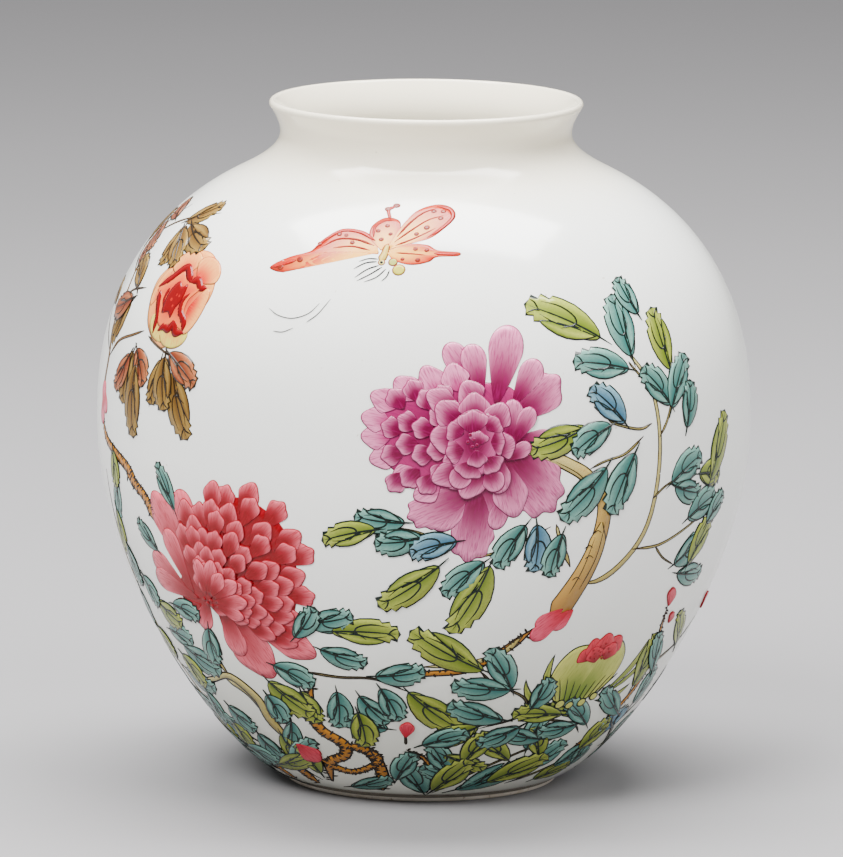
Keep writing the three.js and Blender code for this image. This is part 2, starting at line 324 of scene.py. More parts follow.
lower_outside = between(clay_outside, foot_height + 0.1, belly[1])
lower_inside = between(clay_inside, 0, belly[1])
lower_floor = [(0, foot_height), (lower_outside[0, 0], foot_height)]
lower_clay = turned("lower_body_clay", np.vstack([lower_floor, lower_outside, lower_inside]))
finished(lower_clay, "lower_body", porcelain)
upper_rings = [between(line, belly[1] + 0.05, shoulder_end[1]) for line in (clay_outside, clay_inside)]
upper_clay = turned("upper_body_clay", np.vstack(upper_rings))
finished(upper_clay, "upper_body", porcelain)
neck_rings = [between(line, shoulder_end[1] + 0.05, 200) for line in (clay_outside, clay_inside)]
neck_clay = turned("neck_and_lip_clay", np.vstack(neck_rings))
finished(neck_clay, "neck_and_lip", porcelain)

# ---- Clear glaze, outside, inside and under the base ------------------------
# One dip of clear glaze, fired to a soft gloss. Low on the body its colour is
# darkened to a faint green-grey: partly the glaze's own tint where it pools,
# partly painted shade under the belly. Round the neck, under the lip, a warmer,
# darker band is painted shade. The glaze carries tiny ripples, pinholes and a
# thin brown kiss line where it stops at the foot.
glaze_stop = (37.28, 1.2)
glaze_outer_line = np.vstack([[glaze_stop], outside])
glaze_outer = np.vstack([glaze_outer_line, inset(glaze_outer_line, glaze_depth)[::-1]])
glaze_inner_back = inset(inside, glaze_depth)[::-1]
glaze_inner_back[0, 0] = 0
glaze_inner = np.vstack([inside, glaze_inner_back])
well, ceiling = foot_inner - 0.02, foot_height - 0.02
well_face, ceiling_face = well - glaze_depth, ceiling - glaze_depth
base_glaze_outline = [(0, ceiling), (well, ceiling), (well, glaze_stop[1]), (well_face, glaze_stop[1])]
base_glaze_outline += [(well_face, ceiling_face - 0.28), (well_face - 0.28, ceiling_face), (0, ceiling_face)]

glaze = Finish("clear_glaze", Roughness=0.16, Coat_Weight=0.2, Coat_Roughness=0.1)
glaze.shade(IOR=1.5)
glaze_place = glaze.node("TexCoord", output=3)
glaze_height = glaze.node("SeparateXYZ", None, {0: glaze_place}, 2)
glaze_cloud = glaze.noise(glaze_place, 22.0, 4.0)
# painted shade: from 75 mm down to 10 mm the glaze turns a darker green-grey, partly its own pooled tint and
# partly painted shade under the belly
glaze_pool_and_low_shade = glaze.step(glaze_height, 0.075, 0.01)
glaze_white = glaze.mix(ink(238, 237, 231), ink(229, 232, 228), glaze_cloud)
# painted shade: a warmer, darker band round the neck, under the rolled lip
glaze_white = glaze.mix(glaze_white, ink(234, 225, 202), glaze.step(glaze_height, 0.156, 0.176))
glaze_white = glaze.mix(glaze_white, ink(212, 213, 200), glaze_pool_and_low_shade * 0.9)
glaze_specks = glaze.step(glaze.noise(glaze_place, 420.0, 1.0), 0.79, 0.84)
glaze_white = glaze.mix(glaze_white, ink(172, 158, 136), glaze_specks * 0.5)
kiss_line = glaze.step(glaze_height, 0.0031, 0.0022)
glaze.shade(Base_Color=glaze.mix(glaze_white, ink(96, 78, 60), kiss_line * 0.75))
glaze.bump(glaze.noise(glaze_place, 160.0, 2.0), 0.00006)
finished(turned("outer_glaze_skin", glaze_outer), "exterior_glaze", glaze)
finished(turned("inner_glaze_skin", glaze_inner), "interior_glaze", glaze)
finished(turned("base_glaze_skin", np.array(base_glaze_outline)), "base_glaze", glaze)

# ---- Purple peony -----------------------------------------------------------
# The large mauve bloom at the middle of the front. Like all the painting it is
# enamel, brushed on the fired glaze in raised patches and fired again: first
# the far petals, then the nearer ones.
layer_rise = 0.01  # each layer of enamel lies this much higher, in millimetres
lowest_lift = 0.02  # the first layer's height off the glaze
root_depth = 0.05  # how far a patch's sides reach into the glaze
root_step = 0.0015  # each patch reaches this much deeper, so that no two undersides meet
edge_width = 0.3  # the width over which a patch rises from its edge
edge_height = 0.012  # and how high it rises
fired_depth = 1.4  # firing deepens every colour: a power of its linear light
streak_shift = 7.0  # the step from one patch's brush streaks to the next patch's


def walked(line):
    """The distance walked from the line's start to each of its points."""
    return np.concatenate([[0], np.cumsum(np.linalg.norm(np.diff(line, axis=0), axis=1))])


wall_line = np.vstack([under_belly, over_belly[1:], neck_bend[1:]])
wall_climb = walked(wall_line)
wall_climb = wall_climb - wall_climb[len(under_belly) - 1]
wall_out = inset(wall_line, -1.0) - wall_line


def wall_radius(climb):
    """The jar's radius at a climb: millimetres up its side, counted from the belly."""
    return np.interp(climb, wall_climb, wall_line[:, 0])


def on_wall(angle, climb, lift):
    """The point at an angle in degrees from the front, a climb, and a lift off the glaze."""
    radius, height, out, up = (
        np.interp(climb, wall_climb, column) for column in (*wall_line.T, *wall_out.T)
    )
    reach = radius + lift * out
    turn = np.radians(angle)
    return np.stack([reach * np.sin(turn), -reach * np.cos(turn), height + lift * up], -1)


def along_curve(points, count, loop=False):
    """A smooth line through the points: each coordinate is a Catmull-Rom cubic between
    neighbours, evaluated at evenly spaced steps."""
    p = np.array(points, float)
    if loop:
        ends = np.vstack([p[-1:], p, p[:2]])
        spans = len(p)
    else:
        ends = np.vstack([2 * p[:1] - p[1:2], p, 2 * p[-1:] - p[-2:-1]])
        spans = len(p) - 1
    t = np.linspace(0, spans, count)
    k = np.minimum(t.astype(int), spans - 1)
    f = (t - k)[:, None]
    a, b, c, d = (ends[k + i] for i in range(4))
    return 0.5 * (2 * b + (c - a) * f + (2 * a - 5 * b + 4 * c - d) * f**2 + (3 * b - a - 3 * c + d) * f**3)


def smooth(value, low, high):
    """0 below low, 1 above high, with the cubic 3t^2 - 2t^3 between."""
    t = np.clip((np.asarray(value, float) - low) / (high - low), 0, 1)
    return t * t * (3 - 2 * t)


def graded(first, last, share):
    """Colours that run from the first to the last as share goes from 0 to 1."""
    return np.array(first) * (1 - share) + np.array(last) * share


def patch_faces(rows, cols, loop):
    """A patch's quads on its two grids of points: the top, the underside turned over, and
    the upright sides between them, which a loop has only along its two rings."""
    index = np.arange(rows * cols).reshape(rows, cols)
    top = np.stack([index[:-1, :-1], index[:-1, 1:], index[1:, 1:], index[1:, :-1]], -1).reshape(-1, 4)
    lines = [index[0], index[-1]] if loop else [index[0], index[-1], index[:, 0], index[:, -1]]
    edges = np.vstack([np.stack([line[:-1], line[1:]], -1) for line in lines])
    return top, top[:, ::-1] + rows * cols, np.hstack([edges, edges[:, ::-1] + rows * cols])


class Brushwork:
    """The enamel patches of one motif. A motif is drawn in millimetres about an anchor on
    the wall; each patch is a thin closed slab, a little higher than the one before."""

    def __init__(self, angle, climb, first_layer=0):
        self.anchor = (angle, climb)
        self.layer = first_layer
        self.pace = 1
        self.sheets = []

    def sheet(self, x, y, across, along, rim, tint, loop=False):
        """Adds one patch from grids of equal shape: place, distance across and along the
        brush stroke, distance from the nearest edge, and colour."""
        self.sheets.append((x, y, across, along, rim, tint, loop, self.layer))
        self.layer += self.pace

    def local(self, route):
        """Points given by angle and climb, as millimetres from the motif's anchor."""
        angle, climb = np.array(route, float).T
        across = np.radians(angle - self.anchor[0]) * wall_radius(climb)
        return np.stack([across, climb - self.anchor[1]], 1)

    def spread(self, root, edge, dark, light, reach=(0.15, 0.95), bulge=0.75, loop=False, rows=11):
        """Straight strokes fan out from the root to every point of the edge line; with a
        bulge below 1 they leave the root more widely. Colour runs from dark to light."""
        root = np.array(root, float)
        spoke = edge - root
        v = np.linspace(0, 1, rows)[:, None]
        axis = spoke[len(edge) // 2] / np.linalg.norm(spoke[len(edge) // 2])
        length = spoke @ axis
        side = spoke @ np.array([-axis[1], axis[0]])
        out, wide = v * length, side * (v if loop else v**bulge)
        x = root[0] + out * axis[0] - wide * axis[1]
        y = root[1] + out * axis[1] + wide * axis[0]
        span = np.linalg.norm(spoke, axis=1)
        walk = walked(edge)
        from_side = np.minimum(walk, walk[-1] - walk) * v**bulge
        rim = (1 - v) * span if loop else np.minimum((1 - v) * span, from_side)
        across = walk * (0.15 + 0.85 * v) if loop else wide
        tint = graded(dark, light, smooth(v + 0 * span, *reach)[..., None])
        self.sheet(x, y, across, 0.12 * v * span, rim, tint, loop)

    def petal(self, x, y, aim, length, width, dark, light, lobes=0, bend=0.0, **more):
        """A petal's edge is part of an ellipse about its tip, waved by its lobes: narrow at
        the root, rounded at the end, and bent sideways by a share of its length."""
        turn = np.radians(np.linspace(-100, 100, 13 + 8 * lobes))
        wave = 1 + 0.14 * (np.cos(2 * lobes * turn * 0.9) - 1) / 2 if lobes else 1
        tip = min(0.6 * width, 0.5 * length)
        ahead = length - tip + tip * np.cos(turn) * wave
        aside = 0.5 * width * np.sin(turn) * wave + bend * length
        way, left = heading(aim), heading(aim + 90)
        edge = np.array([x, y]) + ahead[:, None] * way + aside[:, None] * left
        self.spread((x, y), edge, dark, light, **more)

    def petals(self, places, dark, light, lobes=0, **more):
        """Petals given by x, y, aim, length and width, and by their own lobes and bend if
        they differ."""
        for place in places:
            self.petal(*place[:5], dark, light, *(place[5:] or (lobes,)), **more)

    def stroke(self, points, start, end, colour, count=24, faint=None):
        """A brushed line through the points, tapering from its start width to its end."""
        line = along_curve(points, count)
        run = run_of(line)
        t = np.linspace(0, 1, count)
        taper = np.minimum(1, 5 * np.minimum(t + 0.04, 1.04 - t))
        half = 0.5 * (start + (end - start) * t) * taper
        u = np.linspace(-1, 1, 3)
        x = line[:, :1] - run[:, 1:] * half[:, None] * u
        y = line[:, 1:] + run[:, :1] * half[:, None] * u
        rim = (1 - abs(u)) * half[:, None]
        tint = graded(colour, faint or colour, t[:, None, None] * np.ones((1, 3, 1)))
        self.sheet(x, y, half[:, None] * u, walked(line)[:, None] + 0 * u, rim, tint)

    def dot(self, x, y, size, colour):
        """A round drop of enamel."""
        turn = np.linspace(0, 2 * np.pi, 13)
        edge = np.array([x, y]) + 0.5 * size * np.stack([np.cos(turn), np.sin(turn)], 1)
        self.spread((x, y), edge, colour, colour, loop=True, rows=3)

    def lay(self, name, node, slot, finish):
        """Lays every patch on the wall at its own layer's height, a little lower along its
        edge, with upright sides that reach into the glaze. Each patch has its own cell of
        the bake map."""
        cells = int(np.ceil(np.sqrt(len(self.sheets))))
        points, quads, bake, grain, rims, tints, soft = [], [], [], [], [], [], []
        begin = 0
        for number, (x, y, across, along, rim, tint, loop, layer) in enumerate(self.sheets):
            climb = self.anchor[1] + y
            angle = self.anchor[0] + np.degrees(x / wall_radius(climb))
            rise = edge_height * (1 - (1 - np.clip(rim / edge_width, 0, 1)) ** 2)
            upper = on_wall(angle, climb, lowest_lift + layer_rise * layer + rise)
            lower = on_wall(angle, climb, -root_depth - root_step * number + 0 * x)
            points += [upper.reshape(-1, 3), lower.reshape(-1, 3)]
            top, under, sides = patch_faces(*x.shape, loop)
            quads.append(np.vstack([top, under, sides]) + begin)
            soft.append(np.arange(len(top) + len(under) + len(sides)) < len(top))
            u, v = np.meshgrid(np.linspace(0.05, 0.95, x.shape[1]), np.linspace(0.05, 0.95, x.shape[0]))
            cell = np.array([number % cells, number // cells])
            shown = (np.stack([u, v], -1).reshape(-1, 2)[top] + cell) / cells
            hidden = np.broadcast_to((cell + 0.5) / cells, (len(under) + len(sides), 4, 2))
            bake.append(np.vstack([shown, hidden]).reshape(-1, 2))
            flow = np.stack([across, along + streak_shift * number], -1).reshape(-1, 2)
            grain.append(flow[np.vstack([top, top, sides % x.size])].reshape(-1, 2))
            rims += [rim.ravel(), rim.ravel()]
            fired = np.broadcast_to(tint, (*x.shape, 4)).reshape(-1, 4) ** fired_depth
            tints += [fired, fired]
            begin += 2 * x.size
        layers = {"OFBake": np.vstack(bake), "grain": np.vstack(grain)}
        values = {"rim": np.concatenate(rims), "tint": np.vstack(tints)}
        piece = closed_shell(name, np.vstack(points), np.vstack(quads), layers, values, np.concatenate(soft))
        finished(piece, node, finish)


def enamel(name, outline, width, streak, deep):
    """A fired enamel: the patch's own colour, brush streaks that run with the petal towards
    a deeper colour, and a thin painted outline inside the edge."""
    finish = Finish(name, Coat_Weight=0.08, Coat_Roughness=0.08, Specular_IOR_Level=0.22)
    tint = finish.node("Attribute", {"attribute_name": "tint"})
    rim = finish.node("Attribute", {"attribute_name": "rim"}, output=2)
    flow = finish.node("UVMap", {"uv_map": "grain"})
    hairs = finish.noise(flow, 2.6, 4.0)
    cloud = finish.noise(flow, 0.55, 2.0)
    colour = finish.mix(tint, deep, finish.step(hairs, 0.44, 0.72) * streak)
    colour = finish.mix(colour, deep, finish.step(cloud, 0.5, 0.8) * (0.5 * streak))
    worn = finish.noise(flow, 1.3, 3.0)
    drawn = 1 - finish.step(rim + worn * 0.12, 0.6 * width + 0.06, width + 0.12)
    finish.shade(Base_Color=finish.mix(colour, outline, drawn))
    finish.shade(Roughness=0.14 + 0.16 * cloud)
    edge_round = finish.step(rim, 0.0, 0.45)
    finish.bump(edge_round + hairs * 0.12, 0.00012)
    return finish


mauve_deep = ink(126, 22, 78)
mauve = ink(176, 72, 126)
mauve_mid = ink(202, 116, 158)
mauve_pale = ink(224, 152, 184)
purple_finish = enamel("mauve_enamel", ink(122, 34, 76), 0.3, 0.7, mauve_deep)

purple = Brushwork(8.1, 10.6)
purple_bed = [
    (-26, 4), (-20, 12), (-10, 15), (0, 15), (12, 12), (14, 0), (10, -15), (0, -18), (-8, -15),
    (-18, -10), (-25, -4),
]
purple.spread((-4, 0), along_curve(purple_bed, 61, True), mauve_deep, mauve, loop=True)
purple.petals((
    (4, -10, -76, 15, 10, 2), (2, -13, -100, 21, 12, 4, 0.05), (-1, -12, -120, 15, 10, 1, -0.05),
    (2.5, -12.5, -160, 21, 11, 5, 0.08), (9, -14, -104, 11, 6, 1), (10, -4, -52, 21, 17, 5),
    (8, -5, -76, 17, 10, 2), (11, -0.5, -4, 13, 8, 1, -0.05), (12.5, 4.5, 40, 16, 12, 3, 0.04),
    (11, 8, 64, 14, 7, 0, -0.08), (1.5, 13, 118, 14, 8, 1, 0.05), (6.5, 8, 78, 22, 11, 1),
    (3, 11, 98, 14, 7, 0, 0.05),
), mauve_deep, mauve_pale, reach=(0.15, 1.1))
purple.petals((
    (-8, -12, -150, 8, 7), (-14, -8, -150, 8, 7), (-19, -4, -165, 8, 7), (-21, 0, 178, 8, 7),
    (-21, 4, 170, 8, 7), (-19, 8, 155, 8, 7), (-14, 10, 135, 8, 8), (-8, 11, 118, 9, 8),
    (-3, 12, 105, 8, 8),
), mauve, mauve_pale, 2, reach=(0.0, 0.8))
for column in range(5):
    for row in range(4 if column < 4 else 3):
        x = -17.5 + 4.0 * column
        y = -9.0 + 5.4 * row + 1.6 * (column % 2) + 0.6 * np.sin(5 * column + 3 * row)
        aim = 180 - 6.5 * (y + 1)
        purple.petal(x, y, aim, 6.5, 6.2, mauve_deep, mauve_pale, 3, reach=(0.4, 1.1), rows=9)
purple.petals((
    (-2, -8, -160, 9, 7, 2), (-3, 7, 150, 10, 7, 2), (2, 8, 120, 8, 8, 2), (9, -3, 86, 13, 6, 0, -0.1),
    (11, -2, 60, 11, 6, 1), (9, -6, 30, 8, 5, 1), (6.5, -4, -85, 11, 8, 1), (2, -8, -118, 9, 8, 2),
    (-3, 0, 176, 8, 9, 2), (-3, 4, 140, 8, 8, 2), (1, 4, 92, 8, 9, 2), (5, 2, 60, 8, 8, 2),
    (6, -3, 20, 6, 8, 2), (4, -8, -60, 7, 7, 1), (-1, -7, -120, 7, 7, 1),
), mauve_deep, mauve_pale, reach=(0.3, 1.1))
ball_points = [(-6, -3), (-5, 4), (0.5, 7.5), (6, 4.5), (7, -2), (5, -8), (0, -10.5), (-4.5, -8)]
ball_edge = along_curve(ball_points, 49, True)
purple.spread((0.8, -1), ball_edge, mauve_deep, mauve_mid, loop=True, reach=(0.2, 1.0), rows=9)
purple.petals((
    (0, -6, -110, 5, 8), (4, -5, -50, 5, 7), (-2, -3, -170, 5, 7), (5, -1, 0, 4, 8), (-2, 1, 150, 5, 7),
    (4, 2, 45, 4.5, 7), (0.5, 1, 92, 6.5, 9), (1, -3, -80, 5, 6), (1.5, -2, 80, 4, 6),
), mauve_deep, mauve_pale, 3, reach=(0.3, 1.15), rows=8)
for x, y in ((-1, -1), (0.6, -0.4), (-0.4, 0.9), (1.4, -1.8), (0.2, -2.2)):
    purple.dot(x, y, 1.1, ink(132, 18, 50))
purple.lay("purple_peony", "purple_peony_enamel", "purple_enamel", purple_finish)

# ---- Pink peony -------------------------------------------------------------
# A second open bloom in rose enamel: finger-like inner petals crowd into a
# ball, and a loose skirt of longer petals falls to the left and below.
rose_deep = ink(146, 8, 34)
rose_pale = ink(232, 136, 148)
rose_finish = enamel("rose_enamel", ink(140, 30, 38), 0.26, 0.7, rose_deep)

pink = Brushwork(-33, -31)
heart = np.array([-16.0, -9.0])


def ball_reach(aim):
    """How far the bloom's ball reaches from its heart in each direction."""
    return np.interp(aim, (-20, 0, 12, 24, 35, 46, 58, 72, 86, 104), (28, 31, 34, 38, 42, 43, 42, 38, 31, 27))


skirt_aim = np.radians(np.linspace(96, 262, 24))
skirt_bed = heart + (-3.5, 0.5) + 8.5 * np.stack([np.cos(skirt_aim), np.sin(skirt_aim)], 1)
pink.spread(heart, skirt_bed, rose_deep, rose_deep)
pink.petals((
    (-14, -8, -62, 27, 15, 2), (-12, -9, -84, 17, 9, 1), (-9, -9, -30, 27, 11, 2),
    (-23, -9, 146, 19, 9, 1), (-17, -7, 124, 32, 11, 2, -0.04), (-20, -9, 164, 20, 8, 1, 0.05),
    (-17, -6, 96, 29, 10, 1, 0.05), (-22, -8, 112, 20, 8, 1), (-20, -11, -166, 13, 7, 1),
    (-17, -9, -118, 11, 7, 1),
), rose_deep, rose_pale, reach=(0.2, 1.1))
bed_aim = np.radians(np.linspace(-24, 108, 40))
bed_way = np.stack([np.cos(bed_aim), np.sin(bed_aim)], 1)
bed_edge = heart + 0.88 * ball_reach(np.degrees(bed_aim))[:, None] * bed_way
pink.spread(heart, bed_edge, rose_deep, rose_deep)
for ring, share in enumerate((1.0, 0.87, 0.74, 0.61, 0.49, 0.37, 0.26)):
    count = int(5 + 8 * share)
    for k in range(count):
        aim = -22 + 126 * (k + 0.5 * (ring % 2)) / (count - 0.5) + 2.5 * np.sin(5 * k + 2 * ring)
        tip_reach = share * ball_reach(aim) * (1 + 0.05 * np.sin(9 * k + 4 * ring))
        long = 7.5 + 3 * share
        root = heart + (tip_reach - long) * heading(aim)
        wide = 4.2 + 2.4 * share
        lobes = 2 + (k + ring) % 2
        pink.petal(*root, aim, long, wide, rose_deep, rose_pale, lobes, reach=(0.48, 1.1), rows=9)
for aim, long in ((-16, 10), (8, 12), (96, 11), (34, 12), (72, 12), (54, 10)):
    pink.petal(*(heart + 2 * heading(aim)), aim, long, 4.8, rose_deep, rose_pale, 2, reach=(0.3, 1.0), rows=8)
for x, y in ((-16.6, -9.4), (-15.2, -8.4), (-15, -10), (-17.6, -8.2)):
    pink.dot(x, y, 1.2, ink(140, 16, 24))
pink.lay("pink_peony", "pink_peony_enamel", "pink_enamel", rose_finish)

# ---- Yellow peony -----------------------------------------------------------
# An older bloom seen half from the side: orange and yellow enamel petals round
# a crumpled heart, which is brushed over them in crimson as a piece of its own.
amber = ink(228, 136, 84)
amber_pale = ink(238, 180, 116)
lime_pale = ink(212, 204, 116)
scarlet = ink(196, 52, 48)
scarlet_deep = ink(144, 8, 30)
amber_finish = enamel("amber_enamel", ink(150, 62, 44), 0.18, 0.6, ink(206, 84, 60))

yellow_anchor = (-54, 42)
yellow = Brushwork(*yellow_anchor)
yellow_edge = [
    (-0.6, 14.5), (7, 12), (11.5, 4), (10.5, -3), (7, -9), (-1.5, -14.5), (-9, -11), (-13, -6), (-15, 3),
    (-9, 10),
]
yellow.spread((-2, 0), along_curve(yellow_edge, 61, True), scarlet, amber_pale, loop=True, reach=(0.3, 0.95))
for x, y, aim, length, width, root_tone, tip_tone in (
    (-3, -5, -112, 8, 12, amber, lime_pale), (2, -6, -84, 8, 12, amber, lime_pale),
    (-9, 1, 165, 5, 12, scarlet, amber_pale), (-3, 5, 106, 9, 12, scarlet, amber_pale),
    (4, 5, 64, 8, 12, scarlet, amber_pale), (5, -2, -14, 6, 14, scarlet, amber_pale),
):
    yellow.petal(x, y, aim, length, width, root_tone, tip_tone, 0, reach=(0.1, 0.9))
crumple = [
    (-12, 1), (-4, 7), (-1.6, 6), (2, 5), (7, 4), (4, 0), (4, -4), (6, -8.6), (1, -7.5), (-4, -9),
    (-7, -7), (-9.5, -1),
]
yellow.spread((-2, 0), along_curve(crumple, 73, True), scarlet, amber, loop=True, reach=(0.2, 1.0))
yellow.lay("yellow_peony", "yellow_peony_enamel", "yellow_enamel", amber_finish)
crimson_finish = enamel("crimson_enamel", ink(126, 8, 26), 0.2, 0.5, ink(112, 4, 22))
folds = Brushwork(*yellow_anchor, yellow.layer)
folds.pace = 0
for points, start, end in (
    ([(-12.5, 1.4), (-8, 4.6), (-3.6, 8.6), (-0.6, 6.6), (1.4, 4.6)], 1.7, 2.3),
    ([(1.2, 4.8), (4, 5.6), (6.4, 3.8), (8.8, 4)], 2.2, 1.5),
    ([(-10.6, 0.6), (-9.4, -2.4), (-7.4, -6.4), (-7, -11)], 2.0, 1.3),
    ([(-5, -10), (-2.8, -8.6), (-0.4, -9), (1.4, -7.2), (3, -9.4), (6.6, -9)], 1.7, 2.1),
    ([(3.4, 1.8), (1.6, -0.8), (2.2, -3.6), (5, -6), (6, -8.6)], 1.3, 2.1),
    ([(-6.4, 2.2), (-7, -1.4), (-5.2, -4)], 1.2, 0.8),
):
    folds.stroke(points, 1.2 * start, 1.2 * end, scarlet_deep, 34)
folds.layer += 2
heart_points = [
    (-6, 0.8), (-3.4, 4.4), (-1, 3), (1, 4), (1.2, -0.6), (-0.2, -3), (-1, -6), (-3, -4.6), (-6, -5),
]
heart_edge = along_curve(heart_points, 37, True)
folds.spread((-2.3, -1.2), heart_edge, scarlet_deep, scarlet_deep, loop=True, rows=5)
for x, y, size in ((-2, 0.6, 1.6), (-3.4, -1, 1.8), (-1.8, -2.6, 1.5), (-0.6, 0.4, 1.3)):
    folds.dot(x, y, size, scarlet)
folds.lay("yellow_peony_heart", "yellow_peony_enamel", "yellow_enamel", crimson_finish)

# ---- Butterfly --------------------------------------------------------------
# One butterfly hovers over the blooms: wings that run from cream to iron red,
# with darker spots, a small green-yellow body, and dark hair-fine legs and
# feelers, brushed on the glaze and fired.
cream = ink(238, 188, 106)
wing_red = ink(186, 30, 38)
wing_dark = ink(128, 14, 24)
soot = ink(30, 28, 26)
wing_finish = enamel("butterfly_enamel", ink(146, 40, 34), 0.26, 0.3, ink(214, 116, 74))

butterfly_anchor = (-9, 62)
butterfly = Brushwork(*butterfly_anchor)
wing_shapes = (
    ((-1.5, -0.5), [(-1.6, 0), (-2.8, 2.8), (-7, 6), (-12, 7), (-16, 4), (-20, -1), (-26, -3.5),
      (-31, -6.5), (-31.5, -8), (-27, -8.5), (-22, -5.5), (-17, -1.5), (-11, -0.6), (-5, -0.9),
      (-1.6, -1)]),
    ((-0.5, 0.3), [(-1.2, 0.4), (-4.5, 4.5), (-4.6, 8.5), (-2, 11.8), (1, 12), (3, 10), (2.6, 5),
      (0.2, 0.5)]),
    ((0.6, 0.6), [(0.4, 1), (3.5, 9.5), (6.8, 15.5), (11.5, 18), (15.5, 16.5), (17, 12.5), (14.5, 8),
      (11, 4.5), (6, 3), (1.2, 0.6)]),
    ((0.6, 0), [(1, 0.5), (6, 2.7), (11, 2.4), (14, 0.6), (19.5, 0), (19.5, -1.3), (14, -1.6), (12, -3.2),
      (7.5, -4.2), (3, -3), (0.8, -0.8)]),
)
for root, shape in wing_shapes:
    butterfly.spread(root, along_curve(shape, 45), cream, wing_red, reach=(0.3, 1.1), bulge=1.0)
butterfly.pace = 0
for points, start, end, colour in (
    ([(-0.8, -3.4), (0, -1.2), (0.3, 0.8), (0.6, 2.6)], 2.6, 1.4, ink(206, 186, 104)),
    ([(-3, 3.5), (-7, 6.2), (-12, 6.6), (-16, 3.6), (-20, -1.2)], 1.5, 0.8, wing_red),
    ([(-3, 1.8), (-8, 3.6), (-13, 3.4), (-17, 0.6)], 0.9, 0.5, wing_dark),
    ([(-4, 0.2), (-9, 1.2), (-14, 0.4)], 0.7, 0.4, wing_dark),
    ([(-24, -4.4), (-28, -6.2), (-31, -7.4)], 1.2, 0.8, wing_red),
    ([(2.6, 5), (5.5, 10.5), (8.5, 14.5), (12, 16.4)], 0.8, 0.5, wing_dark),
    ([(2.2, 3.2), (6.5, 8), (10, 11.5), (14, 13.5)], 0.7, 0.4, wing_dark),
    ([(2.6, 2), (7.5, 4.8), (12.5, 8.5)], 0.7, 0.4, wing_dark),
    ([(11.5, 17.2), (15.2, 15.8), (16.2, 12.3), (13.8, 8.2), (10.5, 4.9)], 1.4, 0.9, wing_red),
    ([(-3.6, 4.6), (-3.6, 8.4), (-1.4, 10.8), (1, 11)], 0.9, 0.6, wing_red),
    ([(13, -0.4), (16.5, -0.6), (19.2, -0.7)], 1.3, 0.9, wing_red),
    ([(3, -0.4), (7, -0.6), (11, -1)], 0.6, 0.4, wing_dark),
    ([(0.2, 11.4), (-0.6, 13.4), (-0.9, 15.5), (0.8, 17)], 0.9, 1.2, wing_red),
):
    butterfly.stroke(points, start, end, colour, 26)
for x, y, size in (
    (-28.5, -7, 1.3), (-23, -4.2, 1.2), (-18, 1.4, 0.9), (-13, 5.2, 1.0), (-9, 2.5, 0.9), (-11, 4.9, 0.8),
    (-2.6, 7, 0.9), (-0.4, 9, 0.9), (0.8, 6, 0.8), (-1.4, 4, 0.9), (11, 15, 1.0), (13.2, 12.2, 1.0),
    (10, 8.6, 1.1), (7.6, 6.2, 0.9), (13.5, 15, 1.0), (8, 1, 0.9), (11, 0.6, 0.9), (9, -2.6, 1.0),
    (5, -2.4, 0.8), (0.9, 17.2, 1.3), (-1.2, 15.6, 1.2),
):
    butterfly.dot(x, y, 1.5 * size, wing_dark)
butterfly.dot(4.4, -5.8, 3.6, ink(196, 196, 96))
butterfly.dot(2.6, -3.4, 2.6, ink(176, 184, 110))
butterfly.dot(-0.4, -3.6, 2.0, ink(222, 214, 150))
butterfly.lay("butterfly", "butterfly_enamel", "butterfly_enamel", wing_finish)
soot_finish = enamel("soot_enamel", soot, 0.3, 0.2, soot)
feelers = Brushwork(*butterfly_anchor, 8)
feelers.pace = 0
feelers.dot(-0.4, -3.6, 0.9, soot)
for points, width in (
    ([(-1, -4.6), (-4, -6), (-7, -8.6)], 0.34),
    ([(0, -5), (-3, -7.4), (-6.4, -9.6)], 0.34),
    ([(1, -5.6), (-1.2, -8.2), (-4.4, -9.8)], 0.3),
    ([(-1.6, -3.4), (-4.6, -4), (-7.6, -6)], 0.34),
    ([(-1.4, -2.6), (-4, -2.6), (-6.4, -3.6)], 0.3),
    ([(2, -6), (1.4, -8), (0.2, -9.4)], 0.3),
    ([(-30.3, -19.1), (-27.4, -20.8), (-23, -21.3), (-18.6, -19.6), (-15.8, -16.6)], 0.22),
    ([(-19, -22.1), (-16, -19.6), (-12.9, -15.3)], 0.2),
    ([(-28.4, -25.2), (-25.6, -25.2), (-22.6, -23.9)], 0.2),
):
    feelers.stroke(points, 1.3 * width, 0.8 * width, soot, 18)
feelers.lay("butterfly_legs_and_feelers", "butterfly_enamel", "butterfly_enamel", soot_finish)

# ---- Right-hand branch ------------------------------------------------------
# The main stem: a trunk of brown enamel rises from the ground in a red sheath,
# carries the purple peony, and throws a spray of leaves over the shoulder.
leaf_ink = ink(26, 34, 30)
teal_tones = (ink(150, 184, 172), ink(70, 124, 118))
blue_tones = (ink(150, 180, 188), ink(78, 120, 146))
green_tones = (ink(182, 188, 104), ink(118, 134, 50))
olive_tones = (ink(172, 148, 92), ink(112, 84, 46))
russet_tones = (ink(196, 140, 104), ink(126, 52, 40))
leaf_tones = {"t": teal_tones, "b": blue_tones, "g": green_tones, "o": olive_tones, "r": russet_tones}
bark_ink = ink(44, 34, 24)
bark = ink(168, 132, 74)
bark_pale = ink(198, 176, 112)
twig = ink(176, 164, 104)
twig_pale = ink(206, 202, 150)
sheath_red = ink(196, 40, 72)
teal_finish = enamel("teal_enamel", leaf_ink, 0.5, 0.4, ink(48, 92, 98))
green_finish = enamel("green_enamel", leaf_ink, 0.5, 0.4, ink(96, 112, 38))
bark_finish = enamel("bark_enamel", bark_ink, 0.42, 0.5, ink(150, 98, 52))
knotted_finish = enamel("knotted_enamel", ink(34, 26, 18), 0.66, 0.5, ink(158, 104, 40))


